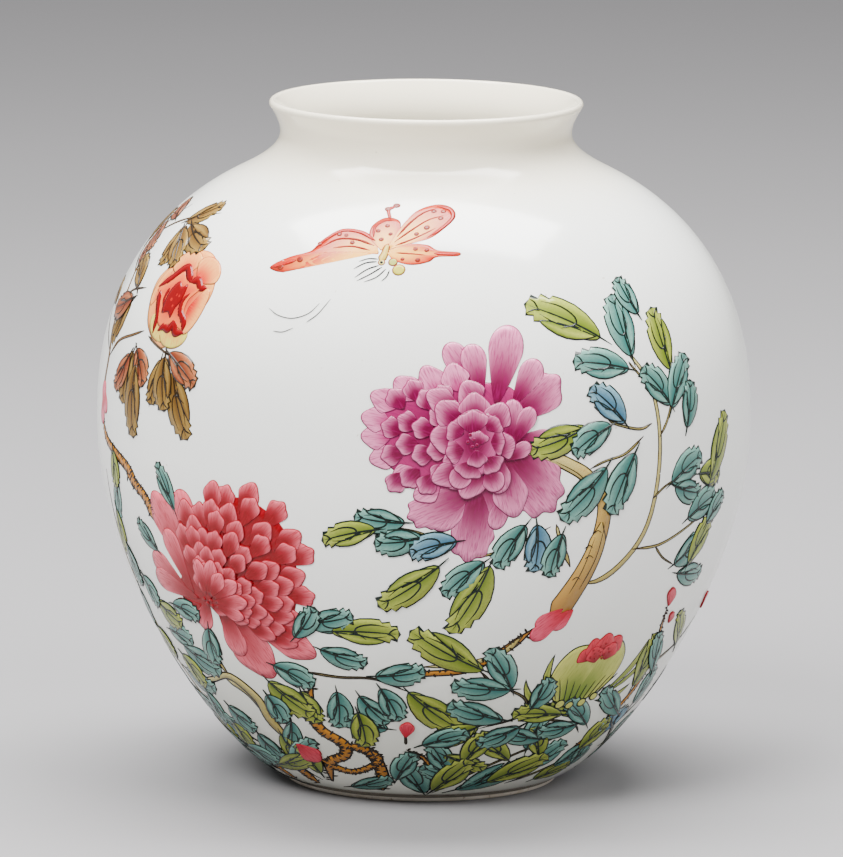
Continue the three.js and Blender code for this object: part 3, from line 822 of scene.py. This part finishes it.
plain_steps = [(0, 0), (0.08, 0), (0.2, 0), (0.36, 0), (0.52, 0), (0.68, 0), (0.84, 0), (0.94, 0), (1, 0)]
tooth_steps = [
    (0, 0), (0.05, 0), (0.13, 0), (0.26, 0), (0.42, 0), (0.58, 0), (0.7, -0.2), (0.73, 0.7), (0.84, -0.8),
    (0.86, 0.7), (0.95, -2.2), (0.96, 0.5), (1, 0),
]


class Spray(Brushwork):
    """Brushwork for foliage. Leaves cycle through eight heights, three layers each, so that
    neighbours overlap cleanly without piling up."""

    patches_each = 7

    def blade(self, x, y, aim, length, width, dark, light, bend, full, teeth=0.0):
        """A leaf blade: its half width follows the sine of the way along it, fullest beyond
        the middle, its midline bows as a parabola, and its edge steps in behind each tooth."""
        v, cut = np.array(tooth_steps if teeth else plain_steps).T[:, :, None]
        u = np.linspace(-1, 1, 5)
        half = 0.5 * width * np.abs(np.sin(np.pi * v**1.15)) ** full * (1 - teeth * cut)
        ahead = length * v + 0 * u
        aside = half * u + 4 * bend * length * (v - v * v)
        way, left = heading(aim), heading(aim + 90)
        px = x + ahead * way[0] + aside * left[0]
        py = y + ahead * way[1] + aside * left[1]
        rim = np.minimum((1 - abs(u)) * half, 0.6 * np.minimum(ahead, length - ahead) + 0 * u)
        tint = graded(dark, light, smooth(abs(u) * 0.55 + v * 0.45, 0.0, 0.9)[..., None])
        self.sheet(px, py, half * u, ahead * 0.5, rim, tint)

    def leaf(self, x, y, aim, length, width, tones, side=1):
        """A leaf as the painter builds it: a wash with a jagged tip, a second wash on one
        half, then dark lines: the loop of the folded tip, the rib and three veins."""
        pale, deep = tones
        self.pace = 0
        leaves_before = len(self.sheets) // self.patches_each
        level = 4 + 3 * (leaves_before % 8)
        root, way, left = np.array([x, y]), heading(aim), side * heading(aim + 90)
        self.layer = level
        self.blade(x, y, aim, length, width, deep, pale, 0.05 * side, 0.5, 0.26)
        self.layer = level + 1
        start = root + 0.06 * length * way - 0.02 * width * left
        self.blade(*start, aim - 9 * side, 0.74 * length, 0.4 * width, pale, deep, -0.06 * side, 0.7)
        self.layer = level + 2
        fold = [root + (0.62 - 0.27 * np.cos(t)) * length * way + (0.26 * np.sin(t) + 0.1) * width * left
                for t in (-2.3, -1.5, -0.7, 0.0, 0.7, 1.5, 2.4)]
        self.stroke(fold, 0.5, 0.5, leaf_ink, 17)
        rib = [root + t * length * way + 0.24 * (t - t * t) * width * left for t in (-0.16, 0.2, 0.55, 0.93)]
        self.stroke(rib, 0.6, 0.42, leaf_ink, 10)
        for t, turn_by, reach in ((0.28, -24, 0.26), (0.82, 34, 0.16), (0.8, -34, 0.17)):
            start = root + t * length * way
            vein = start + reach * length * heading(aim + turn_by * side)
            self.stroke([start, 0.5 * (start + vein) + 0.03 * length * left, vein], 0.55, 0.4, leaf_ink, 5)
        self.pace = 1

    def leaves(self, rows, kinds):
        """Leaves given by angle, climb, aim, length, width and tone."""
        for number, (angle, climb, aim, length, width, tone) in enumerate(rows):
            if tone in kinds:
                x, y = self.local([(angle, climb)])[0]
                self.leaf(x, y, aim, length, width, leaf_tones[tone], 1 if number % 2 else -1)

    def stem(self, route, start, end, tone=twig, tip_tone=twig_pale, count=30):
        """A stem through points given by angle and climb, laid beneath the leaves."""
        self.pace = 0
        self.layer = 1 + len(self.sheets) % 3
        self.stroke(self.local(route), start, end, tone, count, tip_tone)
        self.pace = 1


def foliage(name, node, anchor, rows):
    """The leaves of one group as two pieces, blue-green ones and yellow-green ones."""
    for colour, kinds, finish in (("teal", "tb", teal_finish), ("green", "g", green_finish)):
        brush = Spray(*anchor)
        brush.leaves(rows, kinds)
        brush.lay(f"{name}_{colour}_leaves", node, f"{colour}_enamel", finish)


right_leaves = (
    (34, 35, 152, 23, 10, "g"), (40, 29, 98, 18, 9, "t"), (39, 26, 169, 18, 8, "t"),
    (49, 24, 101, 18, 8, "g"), (48, 15, 133, 15, 8, "t"), (48, 14, 60, 16, 8, "t"),
    (37, 12, 136, 15, 8, "b"), (29, 12, -163, 18, 8, "g"), (34, 12, -151, 14, 8, "t"),
    (33, 1, -135, 19, 9, "t"), (39, 4, -115, 18, 9, "t"), (48, -6, 25, 15, 9, "t"),
    (49, -7, -16, 13, 7, "t"), (56, -5, -10, 12, 8, "g"), (60, -8, 66, 20, 8, "g"),
    (54, -17, 20, 15, 9, "t"), (53, -30, 32, 15, 9, "t"), (58, -31, 56, 16, 8, "g"),
    (55, -33, -8, 15, 7, "t"), (-3, -12, 174, 14, 7, "t"), (-8, -14, -165, 15, 7, "g"),
    (0, -16, -172, 13, 8, "t"), (6, -17, -164, 13, 8, "b"), (3, -24, -139, 19, 9, "g"),
    (11, -23, -134, 14, 8, "t"), (12, -24, -109, 22, 9, "g"), (18, -13, -119, 14, 8, "t"),
    (20, -13, -86, 14, 8, "b"), (25, -16, -100, 13, 7, "t"), (44, 40, 110, 12, 7, "t"),
    (52, 8, 80, 13, 7, "t"), (61, -20, 40, 12, 7, "t"),
)
right_anchor = (30, -10)
right_wood = Spray(*right_anchor)
for route, start, end in (
    ([(30, -31), (33.5, -31), (37.3, -28.1), (41.4, -21.6), (43.6, -13.6), (44.8, 0), (44.6, 12),
      (43, 22), (39, 31), (36, 36)], 2.2, 1.1),
    ([(44.8, 7), (46.9, 11.4), (48.3, 17), (48.4, 24)], 1.0, 0.7),
    ([(43, 11), (40, 10), (35, 12), (33, 14)], 1.0, 0.7),
    ([(41, 8), (37, 4), (32.6, 2.5), (29.6, 0.8)], 1.0, 0.7),
    ([(43.5, -9.4), (46.5, -6.5), (50.4, -4.5)], 0.9, 0.6),
    ([(40.4, -22.9), (47.4, -22.8), (55.4, -18.9), (61.4, -14.7)], 1.1, 0.7),
    ([(46, -23), (49, -27), (53, -30)], 0.9, 0.6),
    ([(27.3, -26), (24.6, -17.7), (23.6, -13.4)], 1.6, 1.0),
    ([(43, 21), (40, 26), (39, 28)], 0.9, 0.6),
    ([(22.6, -14), (14, -20), (8, -21), (0, -15), (-6, -13)], 1.0, 0.7),
    ([(20, -46), (15.9, -51.7), (9, -54.5), (0, -55.5)], 2.2, 1.6),
):
    right_wood.stem(route, start, end)
right_wood.stem([(25.2, -42), (27.8, -35.5), (30.4, -28), (32, -21), (32.6, -14)], 8.0, 4.8, bark, bark_pale)
right_wood.stem([(29, -32), (31.2, -24), (32.6, -17.3), (32.8, -9), (30.8, -4)], 5.6, 4.2, bark, bark_pale)
right_wood.stem([(31.6, -6), (29, -1), (26, 2), (21, 5.6), (15.9, 7.4)], 4.4, 3.2, bark_pale)
right_wood.layer = 5
for points in (
    [(28, -34), (30, -27), (31.6, -18)], [(30, -33), (32.4, -24), (33.4, -14)],
    [(31, -8), (28, -1), (23, 3.6)],
):
    right_wood.stroke(right_wood.local(points), 0.34, 0.2, bark_ink, 18)
for angle, climb in ((29, -30), (31, -24), (32, -17), (30.6, -21)):
    x, y = right_wood.local([(angle, climb)])[0]
    right_wood.stroke([(x - 1.3, y), (x, y + 0.8), (x + 1.3, y)], 0.3, 0.2, bark_ink, 9)
right_wood.lay("right_branch_wood", "right_branch_enamel", "olive_enamel", bark_finish)

foliage("right_branch", "right_branch_enamel", right_anchor, right_leaves)
right_sheath = Brushwork(25, -42, 6)
right_sheath_petals = ((6.6, 3, -134, 8, 5), (3.4, 3.6, -142, 9, 5), (5.4, 3, -139, 13, 5.4))
right_sheath.petals(right_sheath_petals, sheath_red, ink(218, 110, 132), reach=(0.0, 0.9))
right_sheath.lay("right_branch_sheath", "right_branch_enamel", "pink_enamel", rose_finish)

# ---- Green bud --------------------------------------------------------------
# A fat closed bud in yellow-green sepals, with the first red petals showing at
# its top, on a stem that comes up from the ground.
bud_pale = ink(200, 200, 122)
bud_deep = ink(126, 146, 60)
bud_anchor = (39, -58)
bud = Spray(*bud_anchor)
for x, y, aim, length, width, bow in (
    (-7, -12.5, 112, 19, 2.6, 0.16), (-7.5, -12.5, 142, 16, 2.4, 0.2), (8, -11, 54, 20, 2.8, -0.12),
    (8, -12, 40, 21, 2.2, -0.1), (6, -13.5, 14, 14, 2.4, -0.16), (-6, -13.5, 168, 12, 2.2, 0.16),
):
    bud.blade(x, y, aim, length, width, bud_deep, bud_pale, bow, 0.7)
bud_edge = [
    (-8.5, -12), (-12.5, -5), (-12.2, 1.5), (-8.4, 6.4), (-2.4, 6.6), (1, 2.5), (3, 7), (8, 6.6), (11, 1),
    (9.5, -6), (4, -12),
]
bud.spread((-3, -13), along_curve(bud_edge, 61), bud_deep, bud_pale, reach=(0.1, 0.9), bulge=1.0)
for k in range(10):
    base = np.array([-8 + 1.5 * k, -11.5 - 0.16 * k * (9 - k) * 0.6])
    way = heading(118 - 7.5 * k)
    end = base + (8 + 1.5 * np.sin(k)) * way
    bud.stroke([base, base + 4 * way + (0, 0.4), end], 0.42, 0.24, leaf_ink, 12)
for x, y, size in ((-6, -13, 3.4), (-2.6, -13.8, 3.0), (1.4, -13.4, 3.2), (5, -11.8, 3.0)):
    bud.dot(x, y, size, bud_pale)
bud.lay("green_bud_sepals", "green_bud_enamel", "green_enamel", green_finish)
bud_flower = Brushwork(*bud_anchor, 18)
bud_flower.petals((
    (-2.5, 1.5, 130, 5, 6), (-1, 2, 105, 7, 6), (3, 2.5, 60, 7, 7), (1, 2, 84, 8, 7), (0, 0.5, 110, 6, 6),
    (3, 1, 70, 6, 6),
), rose_deep, ink(212, 84, 98), 2, reach=(0.1, 0.9), rows=8)
for k in range(14):
    far = (k / 14) ** 0.5
    bud_flower.dot(0.6 + 3.6 * far * np.cos(2.4 * k), 4 + 3 * far * np.sin(2.4 * k), 0.7, ink(150, 20, 40))
bud_flower.lay("green_bud_first_petals", "green_bud_enamel", "pink_enamel", rose_finish)

# ---- Left-hand branch -------------------------------------------------------
# The yellow peony's own branch climbs the left side: dark wiry stems and toothed
# olive and russet leaves, turning as they age.
left_leaves = (
    (-72, 63, 41, 14, 8, "o"), (-70, 62, -72, 14, 8, "o"), (-68, 63, -20, 18, 8, "o"),
    (-70, 61, -46, 16, 7, "o"), (-86, 60, -50, 12, 7, "r"), (-80, 62, 150, 11, 7, "r"),
    (-72, 41, 140, 13, 7, "o"), (-72, 38, -160, 15, 8, "r"), (-72, 37, -122, 15, 8, "o"),
    (-80, 46, 120, 11, 6, "r"), (-64, 25, -100, 15, 8, "o"), (-63, 26, -52, 12, 8, "r"),
    (-62, 22, -84, 20, 8, "o"), (-65, 24, -126, 13, 7, "r"), (-53, 26, -76, 15, 8, "o"),
    (-52, 27, -30, 15, 7, "r"), (-50, 23, -64, 20, 8, "o"), (-54, 25, -100, 13, 7, "o"),
    (-84, 34, 160, 12, 7, "o"), (-88, 52, 100, 12, 7, "o"),
)
left_anchor = (-70, 30)
left_wood = Spray(*left_anchor)
for route, start, end in (
    ([(-77, 2), (-77, 12), (-76.5, 21), (-79, 29), (-78, 38), (-82, 50), (-84, 60), (-80, 68)], 1.9, 0.9),
    ([(-76, 21), (-72, 26), (-66, 29), (-62, 31)], 1.1, 0.8),
    ([(-84, 56), (-76, 62), (-68, 66), (-60, 69)], 1.0, 0.6),
    ([(-78, 37), (-74, 40), (-68, 42)], 0.9, 0.6),
    ([(-60, 30), (-56, 28), (-51, 26)], 0.9, 0.6),
    ([(-80, 44), (-88, 50), (-92, 58)], 0.9, 0.6),
    ([(-77, 22), (-84, 28), (-90, 34)], 0.9, 0.6),
):
    left_wood.stem(route, start, end, ink(122, 96, 58), bark)
left_wood.lay("left_branch_wood", "left_branch_enamel", "olive_enamel", bark_finish)
olive_finish = enamel("olive_enamel", ink(40, 32, 22), 0.44, 0.5, ink(96, 66, 34))
left_olive = Spray(*left_anchor)
left_olive.leaves(left_leaves, "or")
left_olive.lay("left_branch_leaves", "left_branch_enamel", "olive_enamel", olive_finish)
left_sheath = Brushwork(-77, 8, 6)
left_sheath_petals = ((0, 3, -92, 9, 4.5), (1.5, 4, -70, 7, 4), (0, -2, 86, 8, 4.5))
left_sheath.petals(left_sheath_petals, sheath_red, ink(226, 130, 150), reach=(0.0, 0.9))
left_sheath.lay("left_branch_sheath", "left_branch_enamel", "pink_enamel", rose_finish)

# ---- Front ground -----------------------------------------------------------
# Low growth round the front of the foot: knotted brown roots and old wood with
# short hatching, and a crowd of blue-green and yellow-green leaves.
ground_leaves = (
    (-23, -43, 14, 14, 8, "t"), (-18, -45, 0, 19, 8, "g"), (-21, -51, -16, 14, 7, "t"),
    (13, -57, 146, 24, 9, "g"), (20, -64, 114, 16, 8, "t"), (20, -64, 172, 17, 8, "t"),
    (-10, -59, 10, 14, 8, "t"), (-9, -63, -66, 13, 7, "t"), (-3, -64, -45, 20, 9, "g"),
    (20, -75, 157, 17, 8, "t"), (14, -77, -150, 16, 8, "g"), (25, -78, -154, 14, 7, "t"),
    (36, -75, 173, 16, 7, "g"), (-19, -65, -88, 14, 8, "t"), (-14, -66, -52, 13, 7, "t"),
    (-15, -72, -80, 14, 8, "g"), (1, -108, 109, 17, 8, "t"), (4, -106, 56, 19, 8, "g"),
    (12, -106, 34, 24, 8, "t"), (22, -102, 28, 22, 8, "g"), (-28, -66, -65, 13, 8, "g"),
    (-33, -58, -25, 14, 8, "t"), (-36, -64, -38, 18, 9, "g"), (-38, -69, -61, 12, 8, "t"),
    (-48, -49, -82, 13, 8, "t"), (-58, -44, -10, 13, 7, "t"), (-65, -45, -24, 14, 8, "g"),
    (-66, -54, -8, 14, 8, "t"), (-62, -58, -20, 19, 8, "t"), (-66, -62, -44, 15, 8, "g"),
    (-70, -68, -12, 18, 8, "t"), (-64, -74, -70, 14, 8, "t"), (-56, -77, -37, 14, 8, "t"),
    (-60, -84, -60, 13, 8, "g"), (-50, -86, -50, 14, 8, "t"), (-68, -38, -50, 12, 7, "t"),
    (-72, -30, -62, 14, 7, "t"), (-73, -20, -80, 14, 7, "g"), (-69, -10, -98, 14, 7, "t"),
    (-70, -3, -84, 11, 7, "g"), (-49, -15, 122, 15, 5, "t"), (-57, -28, 142, 13, 5, "t"),
    (-76, -44, -70, 14, 7, "t"), (-76, -56, -40, 14, 7, "g"), (47, -81, 126, 14, 8, "t"),
    (43, -80, -176, 14, 7, "t"), (44, -76, 158, 14, 7, "g"), (60, -80, 128, 16, 8, "t"),
    (58, -70, 70, 20, 8, "g"), (64, -66, 95, 15, 7, "t"), (66, -78, 60, 16, 8, "t"),
    (52, -92, 40, 17, 8, "g"), (46, -98, 30, 17, 8, "t"), (34, -98, 40, 18, 8, "t"),
    (36, -92, 100, 14, 7, "g"), (30, -88, 70, 15, 7, "t"), (26, -92, 130, 15, 7, "g"),
    (12, -92, 60, 15, 7, "g"), (8, -96, 110, 14, 7, "t"), (-8, -100, 70, 14, 7, "t"),
    (-34, -100, 120, 15, 7, "g"), (-44, -98, 60, 16, 8, "t"), (-54, -100, 30, 17, 8, "g"),
    (-64, -94, -20, 16, 8, "t"), (-40, -84, -60, 14, 7, "g"), (-34, -78, -95, 13, 7, "t"),
    (70, -92, 30, 16, 8, "t"), (42, -104, 20, 16, 7, "g"), (-26, -106, 30, 14, 7, "t"),
    (-72, -84, -50, 15, 8, "g"), (72, -60, 110, 15, 7, "g"), (14, -100, 150, 14, 7, "t"),
    (26, -72, 60, 13, 7, "t"), (33, -84, 160, 13, 7, "t"), (-26, -48, 60, 12, 7, "t"),
    (0, -84, 20, 14, 7, "t"), (6, -88, -30, 14, 7, "g"), (-8, -78, 165, 13, 7, "t"),
    (56, -100, 60, 14, 7, "t"),
)


ochre = ink(188, 138, 56)
bud_tip = ink(214, 96, 112)


def red_buds(name, node, anchor, rows):
    """Small closed buds of three overlapping petals, given by angle, climb, aim and size."""
    brush = Brushwork(*anchor, 30)
    for angle, climb, aim, size in rows:
        x, y = brush.local([(angle, climb)])[0]
        for lean, share in ((9, 0.9), (-9, 0.9), (0, 1.0)):
            brush.petal(x, y, aim + lean, share * size, 0.5 * size, sheath_red, bud_tip, reach=(0.0, 0.9))
    brush.lay(name, node, "pink_enamel", rose_finish)


def hatched(brush, route, start, end, steps):
    """Old wood: a stem with two short dark ticks to each step of its length, which stand a
    little outside its edges, one in three on the other side."""
    brush.stem(route, 1.15 * start, 1.15 * end, ochre, ochre, 40)
    line = along_curve(brush.local(route), steps + 2)
    run = run_of(line)
    brush.pace = 0
    brush.layer = 4
    for k in range(2, 2 * steps + 2):
        here, halfway = divmod(k, 2)
        place = line[here] + 0.5 * halfway * (line[here + 1] - line[here])
        out = np.array([-run[here, 1], run[here, 0]])
        half = 0.5 * (start + (end - start) * k / (2 * steps))
        side = 1 if k % 3 else -1
        from_edge = place - side * (half + 0.3 + 0.4 * np.sin(2.6 * k) ** 2) * out
        inside = place - side * 0.1 * half * out + 0.4 * run[here]
        brush.stroke([from_edge, inside], 0.85, 0.5, bark_ink, 4)
    brush.pace = 1


ground_anchor = (0, -80)
ground_wood = Spray(*ground_anchor)
for route, start, end, steps in (
    ([(22, -44), (18, -49), (13, -54), (8, -57), (-1, -58), (-6, -60)], 2.4, 1.8, 20),
    ([(-24, -60), (-27, -73), (-26, -80), (-21, -85), (-22, -90), (-28, -94), (-32, -104)], 3.0, 3.6, 26),
    ([(-21, -85), (-14, -88), (-12, -97), (-14, -107)], 3.0, 3.4, 18),
    ([(-32, -92), (-24, -97), (-18, -96), (-12, -91), (-14, -86)], 2.6, 2.2, 18),
    ([(2, -108), (3, -97), (1, -90), (-4, -86)], 1.8, 1.2, 12),
    ([(-61, -92), (-57, -100), (-54, -108)], 2.6, 3.0, 10),
    ([(-50, -88), (-44, -97), (-40, -107)], 2.8, 3.2, 12),
    ([(-60, -13), (-63, -7), (-68, -4), (-74, -1), (-77, 4)], 3.4, 2.0, 16),
    ([(-56, -19), (-58, -13), (-64, -8)], 2.8, 3.0, 10),
    ([(46, -104), (49, -92), (56, -80), (60, -70), (60, -60), (57, -50), (56, -43)], 2.2, 1.2, 22),
):
    hatched(ground_wood, route, start, end, steps)
for route, start, end in (
    ([(-37, -89), (-41, -79), (-42, -71), (-48, -65), (-56, -68), (-64, -70)], 4.2, 2.0),
    ([(-41, -76), (-44, -70), (-50, -66)], 3.2, 2.0),
    ([(-48, -65), (-50, -56), (-48, -44)], 1.8, 1.4),
    ([(-26, -59), (-18, -60), (-10, -60), (-3, -64)], 1.2, 0.8),
    ([(18, -63), (24, -68), (24, -74), (14, -78)], 1.2, 0.8),
    ([(24, -76), (34, -77), (42, -80), (46, -84)], 1.1, 0.8),
    ([(60, -64), (66, -61), (72, -58), (78, -52)], 1.4, 0.8),
    ([(-76, -10), (-77, -30), (-76, -48), (-74, -64), (-70, -80), (-62, -96), (-54, -106)], 1.6, 1.6),
    ([(4, -108), (14, -98), (26, -90), (38, -84), (46, -78)], 1.3, 0.8),
    ([(30, -104), (44, -98), (60, -88), (72, -76)], 1.3, 0.9),
    ([(-36, -104), (-46, -94), (-60, -86), (-68, -76)], 1.2, 0.8),
    ([(-4, -84), (-4, -80)], 1.0, 0.8),
    ([(12, -57), (16, -62), (20, -64)], 1.0, 0.8),
    ([(38, -76), (36, -72), (35, -70)], 1.4, 1.2),
):
    ground_wood.stem(route, start, end)
ground_wood.lay("front_ground_wood", "front_ground_enamel", "olive_enamel", knotted_finish)
foliage("front_ground", "front_ground_enamel", ground_anchor, ground_leaves)
red_buds("front_ground_buds", "front_ground_enamel", ground_anchor, (
    (-4, -81, 84, 6), (-36, -87, -42, 10), (56, -43, 76, 6), (59, -49, 60, 4), (80, -50, 60, 6),
))

# ---- Back peony -------------------------------------------------------------
# The painting runs right round the jar. A third bloom, in deeper pink, faces the
# far side, built ring by ring from its loose outer petals to a tight heart.
back_pale = ink(232, 158, 176)
back_deep = ink(150, 26, 66)
back_finish = enamel("back_rose_enamel", ink(116, 34, 56), 0.24, 0.6, back_deep)
back_bloom = Brushwork(176, 8)
for ring, (count, far, long, wide) in enumerate(((11, 12, 17, 13), (12, 8, 14, 10), (11, 5, 11.5, 8.5))):
    for k in range(count):
        aim = 360 * (k + 0.5 * (ring % 2)) / count + 5 * np.sin(3 * k + ring)
        root = far * heading(aim) * (1 + 0.12 * np.sin(2 * k + 1))
        reach = long * (1 + 0.1 * np.sin(4 * k))
        back_bloom.petal(*root, aim, reach, wide, back_deep, back_pale, 2 + k % 2, reach=(0.0, 0.95))
for ring, (count, far) in enumerate(((13, 10), (11, 7), (9, 4.5), (7, 2), (5, 0.6))):
    for k in range(count):
        aim = 360 * (k + 0.5 * (ring % 2)) / count + 6 * np.sin(5 * k + 2 * ring)
        root = (far - 2) * heading(aim) + (0, -1)
        back_bloom.petal(*root, aim, 7.5, 6.4, back_deep, back_pale, 1 + k % 2, reach=(0.42, 1.0), rows=9)
for k in range(7):
    far = 1.5 * (k / 7) ** 0.5
    back_bloom.dot(far * np.cos(2.4 * k), far * np.sin(2.4 * k) - 1, 1.0, ink(132, 14, 40))
back_bloom.lay("back_peony", "back_peony_enamel", "pink_enamel", back_finish)

# ---- Back branch ------------------------------------------------------------
# The back bloom's own branch, painted like the front one: brown wood, and leaves
# set alternately along thin stems.


def sprouts(route, every, length, width, tones):
    """Leaf rows along a route of angle and climb: one leaf at each step of its length, to
    the left and right by turns, leaning half way from the stem, with tones in rotation."""
    line = along_curve(route, 200)
    flat = np.stack([np.radians(line[:, 0]) * wall_radius(line[:, 1]), line[:, 1]], 1)
    walk = walked(flat)
    rows = []
    for k, far in enumerate(np.arange(0.6 * every, walk[-1] + 0.5, every)):
        at = min(int(np.searchsorted(walk, far)), 198)
        ahead = np.degrees(np.arctan2(*(flat[at + 1] - flat[at])[::-1]))
        lean = (46 if k % 2 else -46) + 9 * np.sin(2.3 * k)
        size = 1 + 0.16 * np.sin(1.9 * k + len(route))
        tone = tones[k % len(tones)]
        rows.append((*line[at], ahead + lean, length * size, width * size, tone))
    return rows


back_stems = (
    ([(160, -52), (176, -50), (192, -42), (205, -28), (212, -8), (213, 14), (206, 34),
      (196, 48)], 1.9, 1.0, "ttgtb"),
    ([(163, -30), (150, -22), (138, -10), (130, 8), (127, 28), (132, 46)], 1.7, 0.9, "tgt"),
    ([(205, -28), (220, -24), (234, -14), (244, 0)], 1.2, 0.8, "tgb"),
    ([(138, -10), (124, -12), (112, -4), (104, 10)], 1.2, 0.8, "tgt"),
    ([(213, 14), (222, 24), (228, 38)], 1.0, 0.7, "gt"),
    ([(158, -60), (144, -62), (130, -54), (118, -44), (108, -30)], 1.4, 0.8, "tgtb"),
    ([(192, -42), (206, -50), (222, -52), (240, -46), (254, -34)], 1.4, 0.8, "tgt"),
)
back_leaves = [row for route, _, _, tones in back_stems for row in sprouts(route, 8.5, 15, 8, tones)]
back_anchor = (170, -20)
back_wood = Spray(*back_anchor)
for route, start, end, _ in back_stems:
    back_wood.stem(route, start, end)
old_trunk = [(146, -108), (150, -92), (157, -76), (160, -56), (163, -34), (166, -18), (170, -8)]
hatched(back_wood, old_trunk, 6.0, 3.4, 26)
hatched(back_wood, [(156, -78), (146, -70), (134, -68), (122, -72)], 2.8, 1.8, 16)
back_wood.lay("back_branch_wood", "back_branch_enamel", "olive_enamel", bark_finish)
foliage("back_branch", "back_branch_enamel", back_anchor, back_leaves)

# ---- Back ground ------------------------------------------------------------
# The low growth carries on round the back: arching stems that spring from the
# foot, old hatched wood between them, and leaves in the same two enamels.
back_ground_stems = []
for k in range(13):
    start = 76 + 16.2 * k
    rise = 26 + 7 * np.sin(2.1 * k)
    swing = 17 if k % 2 else -15
    route = [(start, -109), (start + 0.25 * swing, -109 + 0.5 * rise), (start + swing, -109 + rise)]
    back_ground_stems.append(route)
    fork = [(start - 0.3 * swing, -100 + 0.5 * rise), (start - 0.9 * swing, -106 + 1.2 * rise)]
    back_ground_stems.append([route[1], *fork])
back_low = [row for route in back_ground_stems for row in sprouts(route, 7.5, 15, 7.6, "tgtbtg")]
back_ground_anchor = (180, -90)
back_roots = Spray(*back_ground_anchor)
for route in back_ground_stems:
    back_roots.stem(route, 1.6, 0.9)
for k in range(5):
    start = 96 + 42 * k
    root_route = [
        (start, -109), (start + 5, -98), (start - 2, -90), (start + 7, -84), (start + 16, -88),
        (start + 20, -98),
    ]
    hatched(back_roots, root_route, 3.4, 2.4, 26)
back_roots.lay("back_ground_wood", "back_ground_enamel", "olive_enamel", knotted_finish)
foliage("back_ground", "back_ground_enamel", back_ground_anchor, back_low)
red_buds("back_ground_buds", "back_ground_enamel", back_ground_anchor, (
    (116, -66, 80, 7), (196, -72, 100, 7), (248, -70, 70, 7), (92, -62, 110, 6),
))
